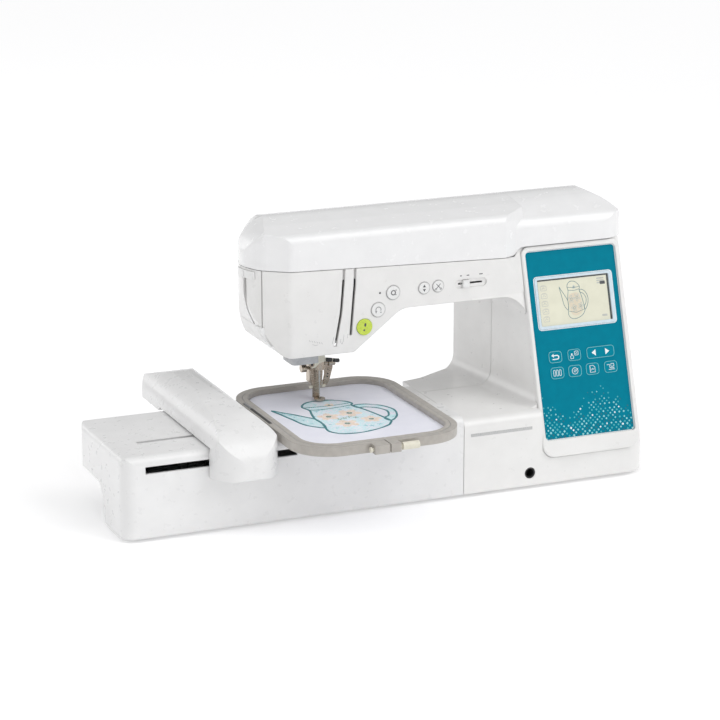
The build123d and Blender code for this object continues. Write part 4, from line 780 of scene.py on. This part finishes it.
# Ruler strip on the front of the base.
rl = Decal(on_front(0.0), -0.05, 0.10)
rl.poly([(7.6, 66.4), (79.2, 66.4), (79.2, 69.8), (7.6, 69.8)])
rl.make("ruler_strip", M["ink_pale"], "machine")
tk = Decal(on_front(0.0), 0.0, 0.16)
for i in range(29):
    hh = 1.7 if i % 4 == 0 else 1.0
    tk.poly([(8.6 + i * 2.5 - 0.12, 69.6 - hh), (8.6 + i * 2.5 + 0.12, 69.6 - hh), (8.6 + i * 2.5 + 0.12, 69.6), (8.6 + i * 2.5 - 0.12, 69.6)])
tk.make("ruler_ticks", M["ink_grey"], "machine")

# ------------------------------------------------------------------ needle and foot details
M["warm_plate"] = finish_mat("warm_plate", (0.33, 0.27, 0.215), (0.50, 0.42, 0.345), (0.2, 0.34), 240, 1800, 0.16, metallic=0.9, stretch=(1, 1, 7))


def plate(name, outline, y0, y1, mat, body, bevel=0.35):
    d = Decal(on_front(y1), 0.0, y1 - y0)
    d.poly(outline)
    o = d.make(name, mat, body)
    bv = o.modifiers.new("edge", "BEVEL")
    bv.width, bv.segments, bv.limit_method = bevel / 1000.0, 2, "ANGLE"
    return o


plate("foot_shank_left", [(-131.2, 131.5), (-129.6, 134.6), (-126.8, 134.8), (-124.6, 125.0), (-121.0, 134.2), (-118.4, 133.2), (-117.4, 124), (-118.4, 113.4),
                          (-119.6, 110.4), (-121.4, 108.6), (-127.4, 108.6), (-129.8, 110.6), (-130.4, 119)], 103.5, 105.9, M["warm_plate"], "presser")
plate("foot_shank_right", [(-114.4, 134.6), (-108.2, 134.8), (-105.8, 131.6), (-105.9, 127.4), (-107.7, 121), (-109.7, 113.6), (-112.6, 109.4), (-115.6, 109.0),
                           (-116.8, 112.6), (-115.0, 121), (-114.9, 128)], 104.2, 106.6, M["warm_plate"], "presser")
plate("foot_shank_bridge", [(-119.5, 132), (-112, 132), (-112, 128.5), (-119.5, 128.5)], 106.7, 108.6, M["warm_steel"], "presser", 0.2)
plate("foot_neck", [(-128.6, 109.2), (-120.8, 109.2), (-121.6, 104.6), (-120.6, 99.0), (-127.0, 99.0), (-127.6, 104.4)], 104.0, 106.2, M["warm_plate"], "presser")
for nm, xx in (("foot_stop_left", -131.6), ("foot_stop_right", -117.0)):
    plate(nm, [(xx - 1.8, 108.4), (xx + 1.8, 108.4), (xx + 2.0, 110.8), (xx - 2.0, 110.8)], 101.2, 104.0, M["cream"], "presser", 0.4)
# Painted shade: black discs stand in for the dark insides of the holes in the foot's shank.
hole_shade = Decal(on_front(104.2), -0.05, 0.12)
for hx, hz, hr in ((-111.6, 121.6, 0.85), (-112.0, 118.4, 0.85), (-111.2, 126.0, 0.6)):
    hole_shade.poly(circle(hx, hz, hr, 12))
hole_shade.make("foot_hole_shade", M["black"], "presser")
plate("threader_bracket", [(-140.2, 142.8), (-133, 144.0), (-121, 144.4), (-110, 142.2), (-104.2, 140.2), (-104.2, 137.6), (-111, 138.8), (-119.6, 140.4), (-127.4, 138.6),
                           (-132.2, 134.4), (-135.6, 134.0), (-139.6, 137.4)], 88.2, 90.4, M["cream"], "machine", 0.5)
plate("threader_bracket_stem", [(-130, 143.4), (-121.4, 143.9), (-121.4, 158.6), (-130, 158.6)], 87.0, 89.6, M["cream"], "machine", 0.4)


def turned(name, centre, axis, radii, mat, body, n=28):
    """Turned part: list of (distance along the axis, radius) round an axis in mm."""
    ax = Vector(axis).normalized()
    s1 = ax.orthogonal().normalized()
    s2 = ax.cross(s1)
    c = Vector(centre)
    verts, faces = [], []
    for t, r in radii:
        for i in range(n):
            a = 2 * math.pi * i / n
            w = c + ax * t + (s1 * math.cos(a) + s2 * math.sin(a)) * r
            verts.append(P(*w))
    for k3 in range(len(radii) - 1):
        for i in range(n):
            j = (i + 1) % n
            faces.append([k3 * n + i, k3 * n + j, (k3 + 1) * n + j, (k3 + 1) * n + i])
    faces.append(list(range(n))[::-1])
    faces.append([(len(radii) - 1) * n + i for i in range(n)])
    return mesh_obj(name, verts, faces, mat, body, smooth=True, angle=35)


turned("threader_screw", (-136.4, 88.2, 138.6), (0, -1, 0), [(0, 3.0), (1.0, 3.0), (1.5, 2.6), (1.5, 1.5), (0.9, 1.4)], M["warm_plate"], "machine")
turned("threader_screw_core", (-136.4, 87.5, 138.6), (0, -1, 0), [(0, 1.3), (0.5, 1.3), (0.8, 1.0)], M["black"], "machine")
for i, (xx, zz) in enumerate(((-116.8, 141.8), (-108.6, 140.2))):
    turned("threader_pin_%d" % i, (xx, 87.6, zz), (1, 0.1, -0.16), [(-3.4, 1.2), (-3.0, 2.1), (2.8, 2.1), (3.4, 1.3)], M["black"], "machine")

# ------------------------------------------------------------------ hoop details
RT = 99.8
# Painted shade: a black strip on the ring's top stands in for the shaded slot of the holder.
slot_shade = Decal(on_flat(RT), -0.05, 0.12)
slot_shade.poly(rrect2(-208.4, 26, -204.9, 104, 1.2, 4))
slot_shade.make("holder_slot_shade", M["black"], "hoop")
rb = Decal(on_flat(RT), 0.0, 0.55)
for i in range(5):
    yy = 84 + i * 4.0
    rb.poly([(-208.2, yy), (-205.1, yy), (-205.1, yy + 1.3), (-208.2, yy + 1.3)])
rb.make("holder_ribs", M["grey"], "hoop")
gv = Decal(on_flat(RT), -0.05, 0.05)
gv.line(rrect2(-203.4, -68.4, -34.6, 147.4, 36.4, 16), 0.35, closed=True)
gv.make("ring_gap_shadow", M["ink_grey"], "hoop")
nt_ = Decal(on_flat(100.6), -0.05, 0.07)
for (u0, v0, u1, v1) in ((-120.0, 142.2, -118.0, 145.6), (-120.0, -66.2, -118.0, -63.0), (-201.2, 38.6, -198.2, 40.4), (-39.8, 38.6, -36.8, 40.4)):
    nt_.poly([(u0, v0), (u1, v0), (u1, v1), (u0, v1)])
nt_.make("ring_centre_marks", M["ink_pale"], "hoop")
